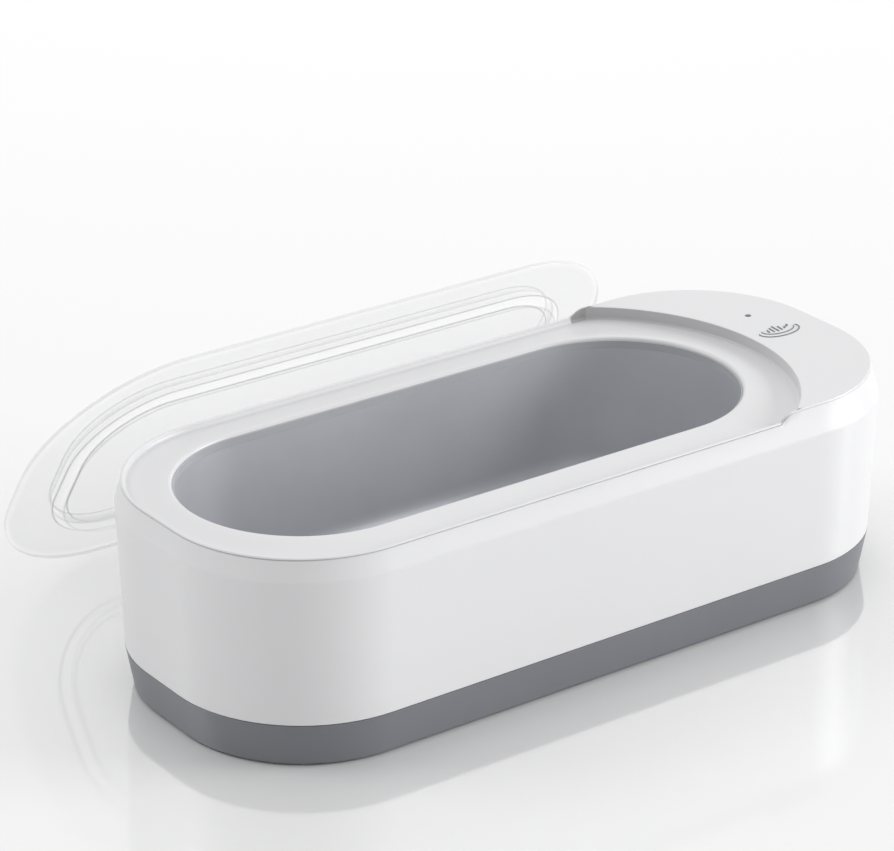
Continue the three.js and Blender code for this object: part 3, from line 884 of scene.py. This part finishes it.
@dataclass
class UpperShell:
    """The white shell: walls, rim, gutter, sloping deck, tank opening and raised panel."""

    corner: float = 36.1 * MM
    seam_inset: float = 1.15 * MM
    crest_inset: float = 1.7 * MM
    panel_inset: float = 2.3 * MM
    rim_width: float = 0.6 * MM
    wall: float = 2.2 * MM
    shoulder: float = 47.3 * MM
    crest: float = 52.75 * MM
    gutter: float = 51.3 * MM
    opening_top: float = 52.6 * MM
    opening_edge: float = 0.8 * MM
    lip: float = 0.4 * MM
    foot: float = 0.8 * MM
    crest_edge: float = 0.45 * MM
    crest_overhang: float = 0.13 * MM
    pocket_edge: float = 0.22 * MM
    groove: tuple[float, float] = (0.16 * MM, 0.2 * MM)
    groove_drop: float = 0.02 * MM
    slope_width: float = 10.0 * MM
    underside: float = 49.3 * MM
    seat_width: float = 6.1 * MM
    step_x: float = 24.3 * MM
    step_radius: float = 51.2 * MM
    ramp: tuple[float, float] = (50.2 * MM, 55.2 * MM)
    lamp_hole: float = 0.85 * MM
    inlet_flange: float = 1.2 * MM
    # Strengths of the painted shade in the groove under the crest, on the rim's climb and on the step's wall, and
    # the span over which it fades towards the front.
    groove_shade: float = 0.8
    climb_shade: float = 0.7
    step_shade: float = 0.55
    fade: tuple[float, float] = (-40 * MM, 8 * MM)
    low: Vector = field(default_factory=lambda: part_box("upper_shell")[0])
    high: Vector = field(default_factory=lambda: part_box("upper_shell")[1])

    @property
    def plan(self) -> Plan:
        """The outline at the shoulder.

        Returns:
            A rounded rectangle as large as the shell's box.
        """
        middle = (self.low + self.high) / 2
        size = (self.high - self.low) / 2
        return Plan(middle.x, middle.y, size.x, size.y, self.corner)

    @property
    def opening(self) -> Plan:
        """The outline of the tank's opening.

        Returns:
            A stadium inside the tank's flange.
        """
        low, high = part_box("tank")
        flange = 5.0 * MM
        half_width = (high.y - low.y) / 2 - flange
        middle = (low + high) / 2
        return Plan(middle.x, middle.y, (high.x - low.x) / 2 - flange, half_width, half_width)

    @property
    def seat_height(self) -> float:
        """The height of the seat for the tank's flange, which is over the seal."""
        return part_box("tank_seal")[1].z + CLEARANCE

    @property
    def tip(self) -> float:
        """Where the panel's step meets the rim."""
        return self.step_x + math.sqrt(self.step_radius**2 - self.pocket_half_width**2)

    @property
    def pocket_half_width(self) -> float:
        """Half the width between the inner faces of the rim."""
        return self.plan.half_width - self.crest_inset - self.rim_width

    def rim_height(self, x: float) -> float:
        """The height of the rim, which climbs to the panel over the ramp.

        Args:
            x: How far along the body.

        Returns:
            The height.
        """
        share = min(1.0, max(0.0, (x - self.ramp[0]) / (self.ramp[1] - self.ramp[0])))
        along = (math.sqrt(0.64 + 0.8 * share) - 0.8) / 0.4
        return self.crest + (self.high.z - self.crest) * (1 - (1 - along) ** 2)

    def rim_inset(self, x: float) -> float:
        """How far the rim is set in, on the sloping band above the shoulder."""
        slope = self.panel_inset / (self.high.z - self.shoulder)
        return slope * (self.rim_height(x) - self.shoulder)

    def step_arc(self, half_width: float, grow: float) -> list[Station]:
        """Stations along the panel's step, from the front to the rear.

        Args:
            half_width: How far from the middle it starts and ends.
            grow: How much larger its radius is than the step's.

        Returns:
            RIGHT stations, without the last one.
        """
        radius = self.step_radius + grow
        span = math.asin(half_width / radius)
        made = []
        for i in range(RIGHT):
            angle = span * (2 * i / RIGHT - 1)
            outward = Vector((math.cos(angle), math.sin(angle)))
            centre = Vector((self.step_x, self.plan.y))
            made.append(Station(centre + outward * radius, outward))
        return made

    def deck_height(self, x: float, y: float) -> float:
        """The height of the deck, which rises from the gutter to the opening.

        Args:
            x: How far along the body.
            y: How far across it.

        Returns:
            The height.
        """
        plan = self.opening
        along = min(plan.x + plan.dx, max(plan.x - plan.dx, x))
        away = math.hypot(x - along, y - plan.y) - plan.corner
        share = (self.slope_width - away) / (self.slope_width - self.lip - self.opening_edge)
        share = min(1.0, max(0.0, share))
        eased = share * share * (3 - 2 * share)
        return self.gutter + (self.opening_top - self.gutter) * (0.6 * share + 0.4 * eased)

    def brow(self, outline: Sequence[Station], inward: float, down: float) -> list[Vector]:
        """A ring of the outer wall's top.

        Args:
            outline: The outline.
            inward: How far in it is from the crest's outer edge.
            down: How far down it is from the crest's top.

        Returns:
            One point for each station.
        """
        return ring(
            outline,
            lambda x: -self.rim_inset(x) + self.crest_overhang - inward,
            lambda x: self.rim_height(x) - down,
        )

    def skin(self) -> bpy.types.Object:
        """The shell's closed skin, from the seam over the rim and deck and back inside.

        Returns:
            The shell before its holes are cut.
        """
        plan, tip, top = self.plan, self.tip, self.high.z
        outer = plan.stations(tip)
        loft = Loft(ring(outer, -self.seam_inset - self.wall, self.low.z))
        loft.through(outer, [(-self.seam_inset - 0.2 * MM, self.low.z)])
        loft.through(outer, [(-self.seam_inset, self.low.z + 0.2 * MM)])
        for share in (0.3, 0.65, 0.9):
            z = self.low.z + (self.shoulder - 0.9 * MM - self.low.z) * share
            loft.through(outer, [(-self.seam_inset * (1 - share) - 0.03 * MM, z)])
        # The shoulder turns over an arc from the wall to the band.
        turn = [(-0.1, -1.3), (-0.05, -0.8), (-0.05, -0.4), (-0.1, 0.0), (-0.22, 0.4), (-0.4, 0.9)]
        loft.through(outer, [(g * MM, self.shoulder + dz * MM) for g, dz in turn])
        # The sloping band, up to the groove under the crest, and the crest's round edge.
        band_in, band_low = 0.4 * MM, self.shoulder + 0.9 * MM
        band_end = self.crest_edge + 0.25 * MM
        for share in (0.35, 0.7):
            loft.to(
                ring(
                    outer,
                    lambda x, s=share: -band_in - (self.rim_inset(x) - band_in) * s,
                    lambda x, s=share: band_low + (self.rim_height(x) - band_end - band_low) * s,
                )
            )
        deep, tall = self.groove
        for inward, down in [(0.0, tall), (deep, tall), (deep, 0.0)]:
            loft.to(self.brow(outer, inward, self.crest_edge + self.groove_drop + down))
        for i in range(5):
            angle = math.radians(17 + 73 * i / 4)
            inward = self.crest_edge * (1 - math.cos(angle)) * 0.75
            loft.to(self.brow(outer, inward, self.crest_edge * (1 - math.sin(angle))))
        # Over the rim or the panel to the edge of the pocket, and down its wall.
        inner = -self.crest_inset - self.rim_width
        left = plan.left_end(tip)
        arc = self.step_arc(self.pocket_half_width, 0.0)
        pocket = arc + left
        straight_side = len(arc)

        def pocket_ring(grow: float, z: Height) -> list[Vector]:
            """A ring of the pocket's outline, grown outwards."""
            return ring(arc, grow, z) + ring(left, inner + grow, z)

        round_edge, foot = self.pocket_edge, self.foot
        for i in range(4):
            angle = math.radians(90 * i / 3)
            grow = round_edge * (1 - math.sin(angle))
            down = round_edge * (1 - math.cos(angle))
            loft.to(pocket_ring(grow, lambda x, d=down: self.rim_height(x) - d))
        deck = [self.deck_height(p.x, p.y) for p in pocket_ring(-foot, 0.0)]
        for i in range(5):
            angle = math.radians(90 * i / 4)
            points = pocket_ring(-foot * (1 - math.cos(angle)), 0.0)
            for j, point in enumerate(points):
                point.z = deck[j] + foot * (1 - math.sin(angle))
                if j >= straight_side:
                    point.z = min(point.z, self.rim_height(point.x) - round_edge)
            loft.to(points)
        # The deck rises to the opening and rolls over into it.
        start = pocket_ring(-foot, 0.0)
        hole = self.opening.stations(tip)
        brink = ring(hole, self.lip + self.opening_edge, 0.0)
        for i in range(1, 9):
            points = [a.lerp(b, i / 8) for a, b in zip(start, brink)]
            for point in points:
                point.z = self.deck_height(point.x, point.y)
            loft.to(points)
        radius = self.opening_edge
        roll = fillet((self.lip + radius, self.opening_top - radius), radius, 90, 180, 6)
        loft.through(hole, roll[1:])
        seat = self.seat_height
        section = [(self.lip, seat), (self.seat_width, seat), (self.seat_width, self.underside)]
        loft.through(hole, section)
        # Back along the underside, up under the panel, and down inside the wall.
        inside = -self.wall - 1.4 * MM
        inner_tip_y = plan.half_width + inside
        wide = self.step_radius + self.wall
        inner_tip = self.step_x + math.sqrt(wide**2 - inner_tip_y**2)
        under_arc = self.step_arc(inner_tip_y, self.wall)
        under_left = plan.left_end(inner_tip)
        under_right = plan.right_end(inner_tip)
        roof = top - self.wall
        flat = ring(under_left, inside, self.underside)
        loft.to(ring(under_arc, 0.0, self.underside) + flat)
        loft.to(ring(under_arc, 0.0, roof) + flat)
        loft.to(ring(under_right, inside - 1.2 * MM, roof) + flat)
        loft.to(ring(under_right, inside, self.underside) + flat)
        loft.to(ring(outer, -self.seam_inset - self.wall, self.low.z))
        LOG.info("upper shell: %d outline stations, step tip at %.1f mm", len(pocket), tip / MM)
        return loft.finish("upper_shell_skin")

    def depth(self, x: float, y: float) -> float:
        """How far a point near the wall is inside the outline.

        Args:
            x: How far along the body.
            y: How far across it.

        Returns:
            The distance.
        """
        plan = self.plan
        over_x = max(0.0, abs(x - plan.x) - (plan.half_length - plan.corner))
        over_y = max(0.0, abs(y - plan.y) - (plan.half_width - plan.corner))
        return plan.corner - math.hypot(over_x, over_y)

    def shade_at(self, place: Vector) -> float:
        """How strongly painted shade darkens the shell's colour at a point: on the step's wall, the rim's climb
        and the groove under the crest.

        Args:
            place: The point.

        Returns:
            0 to 1: full on the rear rim's climb, less along the step, fading to the
            front, and strong in the groove under the crest.
        """
        near, hair = 0.1 * MM, 0.02 * MM
        x, y, z = place
        groove_top = self.rim_height(x) - self.crest_edge - self.groove_drop
        if abs(groove_top - z) < 0.6 * hair and self.depth(x, y) < self.crest_inset + 0.55 * MM:
            return self.groove_shade
        arc = self.step_radius - math.hypot(x - self.step_x, y - self.plan.y)
        rim = self.pocket_half_width - abs(y - self.plan.y)
        if x < self.ramp[0] or not self.gutter - near < z < self.high.z - near:
            return 0.0
        if -self.rim_width - near / 2 < rim < -hair and z < self.rim_height(x) + hair / 2:
            climb = (self.high.z - z) / (self.high.z - self.crest)
            return self.climb_shade * climb if arc > -10 * near and z > self.crest else 0.0
        if not -hair < min(arc, rim) < self.foot:
            return 0.0
        start, end = self.fade
        fading = min(1.0, max(0.0, (y - self.plan.y - start) / (end - start)))
        strength = 1.0 if rim < arc and y > self.plan.y else self.step_shade * fading
        return strength * (1.0 - (max(0.0, min(arc, rim)) / self.foot) ** 2)

    def paint_step_shade(self, shell: bpy.types.Object) -> None:
        """Writes where painted shade darkens the shell, as an attribute of its mesh."""
        values = [self.shade_at(vert.co) for vert in shell.data.vertices]
        shell.data.attributes.new("painted_shade", "FLOAT", "POINT").data.foreach_set("value", values)

    def build(self, paint: Paintbox) -> bpy.types.Object:
        """Makes, cuts and dresses the shell.

        Args:
            paint: The finishes.

        Returns:
            The shell.
        """
        shell = self.skin()
        lamp = centre_of("indicator_lens")
        hole = column(self.lamp_hole, -2 * MM, 8 * MM)
        cutters = [turned("lamp_hole", hole, (lamp.x, lamp.y, self.high.z - 4 * MM))]
        low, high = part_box("inlet_housing")
        socket = centre_of("inlet_housing")
        flange = (high.x - low.x) / 2
        barrel, rim = flange - 0.8 * MM, flange + 0.15 * MM
        seat = high.y - self.inlet_flange
        recess = [(0.0, -9 * MM), (barrel, -9 * MM), (barrel, 0.0)]
        recess += [(rim, 0.0), (rim, 4 * MM), (0.0, 4 * MM)]
        cutters.append(turned("inlet_recess", recess, (socket.x, seat, socket.z), Way.REAR, 64))
        settle(carve(shell, cutters))
        # Paints shade into the shell's colour on the step's wall, the rim's climb and the groove under the crest.
        self.paint_step_shade(shell)
        paint.dress(shell, "white_shell")
        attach(shell, "body")
        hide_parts("upper_shell")
        return shell


@dataclass
class BaseShell:
    """The grey base: tapered wall, floor with slots, foot pockets and screw holes."""

    bottom_inset: float = 2.9 * MM
    seam_inset: float = 1.15 * MM
    wall: float = 2.2 * MM
    floor: float = 2.8 * MM
    seam_gap: float = 0.1 * MM
    slot_x: float = 52 * MM
    slot_pitch: float = 4.4 * MM
    slot: tuple[float, float] = (11 * MM, 1 * MM)
    slots_each_side: int = 3
    pocket: tuple[float, float] = (6.3 * MM, 2 * MM)
    tongue: tuple[float, float] = (1.3 * MM, 1.6 * MM)
    low: Vector = field(default_factory=lambda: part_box("base_shell")[0])

    def tray(self, plan: Plan, seam: float) -> bpy.types.Object:
        """The closed tray with its locating tongue.

        Args:
            plan: The body's widest outline.
            seam: The height of the shell's lower edge.

        Returns:
            The tray.
        """
        bottom, top = self.low.z, seam - self.seam_gap
        chamfer = 0.55 * MM
        outline = plan.stations(plan.x)
        loft = Loft(ring(outline, -self.bottom_inset - chamfer, bottom)).cap()
        loft.through(
            outline,
            [
                (-self.bottom_inset - 0.4 * chamfer, bottom + 0.12 * MM),
                (-self.bottom_inset - 0.1 * chamfer, bottom + 0.5 * chamfer),
                (-self.bottom_inset, bottom + chamfer),
                (-0.5 * (self.bottom_inset + self.seam_inset), 0.5 * (bottom + top)),
                (-self.seam_inset, top - 0.15 * MM),
                (-self.seam_inset - 0.15 * MM, top),
            ],
        )
        tongue = -self.seam_inset - self.wall - CLEARANCE
        thick, tall = self.tongue
        loft.through(
            outline,
            [
                (tongue, top),
                (tongue, top + tall),
                (tongue - thick, top + tall),
                (tongue - thick - CLEARANCE, bottom + self.floor),
            ],
        )
        return loft.cap().finish("base_shell_tray")

    def slots(self) -> list[bpy.types.Object]:
        """Cutters for the cooling slots.

        Returns:
            One cutter for each slot.
        """
        made = []
        low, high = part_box("base_shell")
        middle = (low + high) / 2
        half_length, half_width = self.slot
        for i in range(-self.slots_each_side, self.slots_each_side + 1):
            y = middle.y + i * self.slot_pitch
            plan = Plan(middle.x + self.slot_x, y, half_length, half_width, half_width)
            stations = plan.stations(plan.x)
            loft = Loft(ring(stations, 0.0, low.z - 1 * MM)).cap()
            loft.through(stations, [(0.0, low.z + 5 * MM)])
            made.append(loft.cap().finish(f"slot_{i + self.slots_each_side}"))
        return made

    def build(self, paint: Paintbox, plan: Plan, seam: float) -> bpy.types.Object:
        """Makes, cuts and dresses the base.

        Args:
            paint: The finishes.
            plan: The body's widest outline.
            seam: The height of the shell's lower edge.

        Returns:
            The base.
        """
        tray = self.tray(plan, seam)
        cutters = self.slots()
        radius, depth = self.pocket
        bore = [(0, -1), (3.3, -1), (3.3, 5.6), (1.7, 5.6), (1.7, 14), (0, 14)]
        sections = {
            "foot_": column(radius, -1 * MM, depth),
            "base_screw_": [(r * MM, z * MM) for r, z in bore],
        }
        for node in frame["nodes"]:
            for start, section in sections.items():
                if node.startswith(start):
                    at = centre_of(node)
                    cutters.append(turned(f"hole_{node}", section, (at.x, at.y, 0.0)))
        settle(carve(tray, cutters))
        paint.dress(tray, "grey_base")
        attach(tray, "body")
        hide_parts("base_shell")
        return tray


@dataclass
class Tank:
    """The pressed steel tank with its rolled floor and flange."""

    sheet: float = 0.8 * MM
    bend: float = 7.0 * MM
    draft: float = 1.4 * MM
    flange: float = 5.0 * MM
    rounding: float = 0.25 * MM

    def build(self, paint: Paintbox, opening: Plan) -> bpy.types.Object:
        """Makes and dresses the tank.

        Args:
            paint: The finishes.
            opening: The outline of the tank's opening.

        Returns:
            The tank.
        """
        low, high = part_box("tank")
        floor, top = low.z + self.sheet, high.z
        stations = opening.stations(opening.x)
        middle = (-self.draft - self.bend, floor + self.bend)
        soft = self.rounding
        loft = Loft(ring(stations, middle[0], low.z)).cap()
        loft.through(stations, fillet(middle, self.bend + self.sheet, -90, 0, 12)[1:])
        loft.through(
            stations,
            [
                (self.sheet, top - self.sheet),
                (self.flange - soft, top - self.sheet),
                (self.flange, top - self.sheet + soft),
                (self.flange, top - soft),
                (self.flange - soft, top),
                (0.0, top),
            ],
        )
        loft.through(stations, fillet(middle, self.bend, 0, -90, 12))
        piece = settle(loft.cap().finish("tank_pressing"))
        paint.dress(piece, "tank_steel")
        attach(piece, "body")
        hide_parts("tank")
        return piece


@dataclass
class Seal:
    """The silicone seal: flat between the tank's flange and its seat, with a lip up the opening."""

    lip: float = 0.38 * MM
    lip_top: float = 0.95 * MM
    outer: float = 4.5 * MM
    soft: float = 0.1 * MM
    air: float = 0.01 * MM

    def build(self, paint: Paintbox, opening: Plan, seat: float) -> bpy.types.Object:
        """Makes and dresses the seal.

        Args:
            paint: The finishes.
            opening: The outline of the tank's opening.
            seat: The height of the flange's seat.

        Returns:
            The seal.
        """
        low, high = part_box("tank")[1].z + self.air, seat - self.air
        stations = opening.stations(opening.x)
        top, soft = high + self.lip_top, self.soft
        loft = Loft(ring(stations, self.outer, low))
        section = [(self.outer, high), (self.lip, high), (self.lip, top), (soft * 2, top)]
        section += [(soft, top - soft * 0.3), (0.0, top - soft), (0.0, low), (self.outer, low)]
        loft.through(stations, section)
        piece = settle(loft.finish("seal_ring"))
        paint.dress(piece, "silicone")
        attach(piece, "body")
        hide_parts("tank_seal")
        return piece


@dataclass
class TouchMark:
    """The touch key's mark: ripples and waves, raised a little from the panel."""

    height: float = 0.16 * MM
    sink: float = 0.1 * MM
    soft: float = 0.06 * MM
    ripple: float = 0.34 * MM
    inner_ripple: float = 0.28 * MM
    bar: float = 0.42 * MM
    drops: tuple[float, float] = (0.5 * MM, 0.6 * MM)
    place: tuple[float, float] = (84.5 * MM, -0.4 * MM)

    def stroke(self, route: Sequence[Vector], top: float, width: float) -> bmesh.types.BMesh:
        """A raised line with rounded ends and a softened top.

        Args:
            route: Its route, seen from above.
            top: The height of the panel.
            width: How wide it is.

        Returns:
            Its closed mesh.
        """
        half = width / 2
        sides = []
        for i in range(len(route)):
            along = (route[min(i + 1, len(route) - 1)] - route[max(i - 1, 0)]).normalized()
            sides.append(Vector((along.y, -along.x)))
        right = [Station(p + n * half, n) for p, n in zip(route, sides)]
        left = [Station(p - n * half, -n) for p, n in zip(reversed(route), reversed(sides))]
        outline = right + cap_of(route[-1], sides[-1], half)
        outline += left + cap_of(route[0], -sides[0], half)
        upper = top + self.height
        loft = Loft(ring(outline, 0.0, top - self.sink)).cap()
        loft.through(outline, [(0.0, upper - self.soft), (-self.soft, upper)])
        return loft.cap().bm

    def build(self, paint: Paintbox, body_y: float, top: float) -> bpy.types.Object:
        """Makes and dresses the mark.

        Args:
            paint: The finishes.
            body_y: Where the middle of the body is along Y.
            top: The height of the panel.

        Returns:
            The mark.
        """
        along, across = self.place[0], self.place[1] + body_y
        # Each line's route is in millimetres from the mark's middle.
        lines = [
            (arc_route(6.0, 3.3, 168, 372, 32), self.ripple),
            (arc_route(4.8, 2.6, 165, 348, 24, (0.3, 0.9)), self.inner_ripple),
        ]
        bars = [(-2.9, 0.3, 1.5), (-1.6, 0.0, 2.3), (-0.3, -0.2, 2.9), (1.0, 0.0, 2.1)]
        for x, low, high in bars:
            route = [(x, low), (x + 0.15, (low + high) / 2), (x + 0.3, high)]
            lines.append((route, self.bar))
        lines.append(([(2.2, 0.5), (2.4, 0.8), (2.6, 1.1)], self.drops[0]))
        lines.append(([(3.4, 1.2), (3.7, 1.5), (4.0, 1.8)], self.drops[1]))
        bm = bmesh.new()
        for points, width in lines:
            mesh = bpy.data.meshes.new("stroke")
            route = [Vector((along + x * MM, across + y * MM)) for x, y in points]
            part = self.stroke(route, top, width)
            bmesh.ops.remove_doubles(part, verts=part.verts, dist=1e-7)
            bmesh.ops.recalc_face_normals(part, faces=part.faces)
            part.to_mesh(mesh)
            part.free()
            bm.from_mesh(mesh)
            bpy.data.meshes.remove(mesh)
        piece = settle(make_object("touch_mark", bm))
        paint.dress(piece, "grey_base")
        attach(piece, "body")
        return piece


def arc_route(
    wide: float, deep: float, start: float, end: float, steps: int, centre: Sequence[float] = (0, 0)
) -> list[tuple[float, float]]:
    """Points of an arc of an ellipse.

    Args:
        wide: Half its length.
        deep: Half its depth.
        start: Its first direction, in degrees.
        end: Its last direction.
        steps: How many chords it has.
        centre: Its middle.

    Returns:
        The points.
    """
    made = []
    for i in range(steps + 1):
        angle = math.radians(start + (end - start) * i / steps)
        made.append((centre[0] + wide * math.cos(angle), centre[1] + deep * math.sin(angle)))
    return made


def cap_of(end: Vector, side: Vector, radius: float) -> list[Station]:
    """Stations round the end of a line, from one side to the other, without either.

    Args:
        end: The line's end.
        side: The direction to its first side.
        radius: Half its width.

    Returns:
        The stations, anticlockwise.
    """
    first = math.atan2(side.y, side.x)
    made = []
    for i in range(1, 5):
        angle = first + math.pi * i / 5
        outward = Vector((math.cos(angle), math.sin(angle)))
        made.append(Station(end + outward * radius, outward))
    return made


@dataclass
class Lid:
    """The clear lid: a flange with a rounded edge, a raised middle and a rib under it."""

    half_length: float = 85.7 * MM
    half_width: float = 41.8 * MM
    corner: float = 36.3 * MM
    bottom: float = 53.05 * MM
    sheet: float = 1.6 * MM
    rise: float = 2.2 * MM
    edge: float = 0.6 * MM
    rib_depth: float = 2.4 * MM

    def closed(self, opening: Plan) -> bpy.types.Object:
        """The lid as it lies on the rim.

        Args:
            opening: The outline of the tank's opening.

        Returns:
            The lid.
        """
        plan = Plan(opening.x, opening.y, self.half_length, self.half_width, self.corner)
        stations = plan.stations(plan.x)
        bottom, top = self.bottom, self.bottom + self.sheet
        crown = top + self.rise
        ceiling = crown - self.sheet
        rib = bottom - self.rib_depth
        # Each step is (grow, height), with edge and fold marks where given; the clear finish paints a highlight on
        # the edges and dark lines on the folds.
        under = [(-16.2, ceiling - 0.12 * MM, 0.3, 0.8), (-15.9, ceiling - 0.45 * MM, 0.7, 0.0)]
        under += [(-14.1, bottom, 0.7, 0.2), (-14.1, rib + 0.2 * MM, 1.0, 0.0)]
        under += [(-13.9, rib, 1.0, 0.6)]
        under += [(-13.4, rib, 1.0, 0.3), (-13.2, rib + 0.2 * MM, 1.0, 0.0)]
        under += [(-13.0, bottom - 0.2 * MM, 0.6, 0.5), (-12.8, bottom, 0.2, 0.0), (-1.5, bottom)]
        shape = [(g * MM, z, *marks) for g, z, *marks in under]
        low = fillet((-self.edge, bottom + self.edge), self.edge, -90, 0, 5)
        high = fillet((-self.edge, top - self.edge), self.edge, 0, 90, 5)
        shape += [(g, z, 1.0, 0.45 if g > -0.05 * MM else 0.0) for g, z in low + high]
        over = [(-1.5, top), (-12.0, top), (-12.5, top + 0.06 * MM, 0.2, 0.7)]
        over += [(-12.8, top + 0.3 * MM, 0.8, 0.0), (-14.2, crown - 0.5 * MM, 0.8, 0.0)]
        over += [(-14.6, crown - 0.12 * MM, 0.3, 0.5), (-15.1, crown)]
        shape += [(g * MM, z, *marks) for g, z, *marks in over]
        loft = Loft(ring(stations, -16.6 * MM, ceiling)).cap()
        return loft.through(stations, shape).cap().finish("clear_lid")

    def build(self, paint: Paintbox, opening: Plan) -> bpy.types.Object:
        """Makes the lid, turns it back to where it leans, and dresses it.

        Args:
            paint: The finishes.
            opening: The outline of the tank's opening.

        Returns:
            The lid.
        """
        piece = self.closed(opening)
        joint = next(item for item in frame["joints"] if item["child"] == "lid")
        place = Matrix.Translation(joint["pos_m"])
        turn = Matrix.Rotation(-math.radians(joint["range_deg"][1]), 4, Vector(joint["axis"]))
        piece.data.transform(place @ turn @ place.inverted())
        settle(piece)
        paint.dress(piece, "clear_lid")
        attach(piece, "lid")
        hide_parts("lid")
        return piece


# ---------------------------------------------------------------- studio


@dataclass(frozen=True)
class Lamp:
    """A soft light. One that faces down points straight down over the floor behind the cleaner and shows in no
    glossy reflection.
    """

    name: str
    place: tuple[float, float, float]
    size: tuple[float, float]
    watts: float
    faces_down: bool = False


@dataclass
class Studio:
    """Camera, floor, sky and soft lights."""

    azimuth: float = -35.903
    elevation: float = 23.824
    roll: float = -0.13
    eye: tuple[float, float, float] = (-0.48848, -0.64953, 0.40928)
    lens: float = 149.38
    aim: tuple[float, float, float] = (0.0, 0.0, 0.03)
    lamps: tuple[Lamp, ...] = (
        Lamp("right", (2.17, -1.52, 0.72), (1.3, 1.3), 51.0),
        Lamp("rear_left", (-1.6, 1.4, 1.7), (1.2, 1.2), 17.0),
        Lamp("low_left", (-0.95, -0.45, 0.03), (0.7, 0.05), 0.3),
        Lamp("backdrop", (0.5, 0.75, 0.55), (0.9, 0.9), 1.8, True),
    )

    def camera(self, body_y: float) -> bpy.types.Object:
        """Makes the camera.

        Args:
            body_y: Where the middle of the cleaner's body is along Y.

        Returns:
            The camera.
        """
        turn, tilt = math.radians(self.azimuth), math.radians(self.elevation)
        back = Vector(
            (math.sin(turn) * math.cos(tilt), -math.cos(turn) * math.cos(tilt), math.sin(tilt))
        )
        right = Vector((math.cos(turn), math.sin(turn), 0.0))
        up = back.cross(right)
        pose = Matrix((right, up, back)).transposed().to_4x4()
        data = bpy.data.cameras.new("camera")
        data.lens = self.lens
        data.sensor_width = 36.0
        data.clip_start = 0.01
        camera = linked("camera", data)
        place = Matrix.Translation(Vector(self.eye) + Vector((0, body_y, 0)))
        camera.matrix_world = place @ pose @ Matrix.Rotation(math.radians(self.roll), 4, "Z")
        bpy.context.scene.camera = camera
        return camera

    def floor(self) -> bpy.types.Object:
        """Makes the pale polished floor.

        Returns:
            The floor.
        """
        bm = bmesh.new()
        bmesh.ops.create_grid(bm, x_segments=2, y_segments=2, size=6.0)
        mesh = bpy.data.meshes.new("floor")
        bm.to_mesh(mesh)
        bm.free()
        floor = linked("floor", mesh)
        graph = Surface("floor")
        graph.set(
            Base_Color=(0.87, 0.87, 0.87, 1),
            Roughness=0.08,
            Metallic=0.3,
        )
        mesh.materials.append(graph.material)
        return floor

    def sky(self) -> None:
        """Sets a pale sky that is brighter to the right and the rear."""
        world = bpy.data.worlds.new("sky")
        world.use_nodes = True
        graph = NodeGraph(world.node_tree)
        direction = graph.node("ShaderNodeTexCoord").outputs["Generated"]
        parts = graph.node("ShaderNodeSeparateXYZ", None, {"Vector": direction})
        right, rear = Signal(graph, parts.outputs["X"]), Signal(graph, parts.outputs["Y"])
        strength = 0.8 + right * 0.08 + rear * 0.08
        background = graph.node("ShaderNodeBackground", None, {"Strength": strength})
        background.inputs["Color"].default_value = (1, 1, 1, 1)
        graph.node("ShaderNodeOutputWorld", None, {"Surface": background.outputs["Background"]})
        bpy.context.scene.world = world

    def light(self, lamp: Lamp) -> None:
        """Adds a soft light, which points at the cleaner or straight down.

        Args:
            lamp: What it is.
        """
        data = bpy.data.lights.new(lamp.name, "AREA")
        data.shape = "RECTANGLE"
        data.size, data.size_y = lamp.size
        data.energy = lamp.watts
        made = linked(lamp.name, data)
        made.location = lamp.place
        made.visible_camera = False
        if lamp.faces_down:
            made.visible_glossy = False
        else:
            way = Vector(self.aim) - made.location
            made.rotation_euler = way.to_track_quat("-Z", "Y").to_euler()

    def build(self, body_y: float) -> None:
        """Makes the whole studio.

        Args:
            body_y: Where the middle of the cleaner's body is along Y.
        """
        self.camera(body_y)
        self.floor()
        self.sky()
        for lamp in self.lamps:
            self.light(lamp)
        bpy.context.scene.view_settings.view_transform = "Standard"


def main() -> None:
    """Builds the studio and every sub-assembly in order."""
    logging.basicConfig(level=logging.INFO, format="%(name)s: %(message)s")
    shell = UpperShell()
    Studio().build(shell.plan.y)
    paint = Paintbox()
    paint.dress_frame()
    made = [
        shell.build(paint),
        BaseShell().build(paint, shell.plan, shell.low.z),
        Tank().build(paint, shell.opening),
        Seal().build(paint, shell.opening, shell.seat_height),
        TouchMark().build(paint, shell.plan.y, shell.high.z),
        Lid().build(paint, shell.opening),
    ]
    for piece in made:
        LOG.info("%s: %d faces", piece.name, len(piece.data.polygons))


if __name__ == "__main__":
    main()
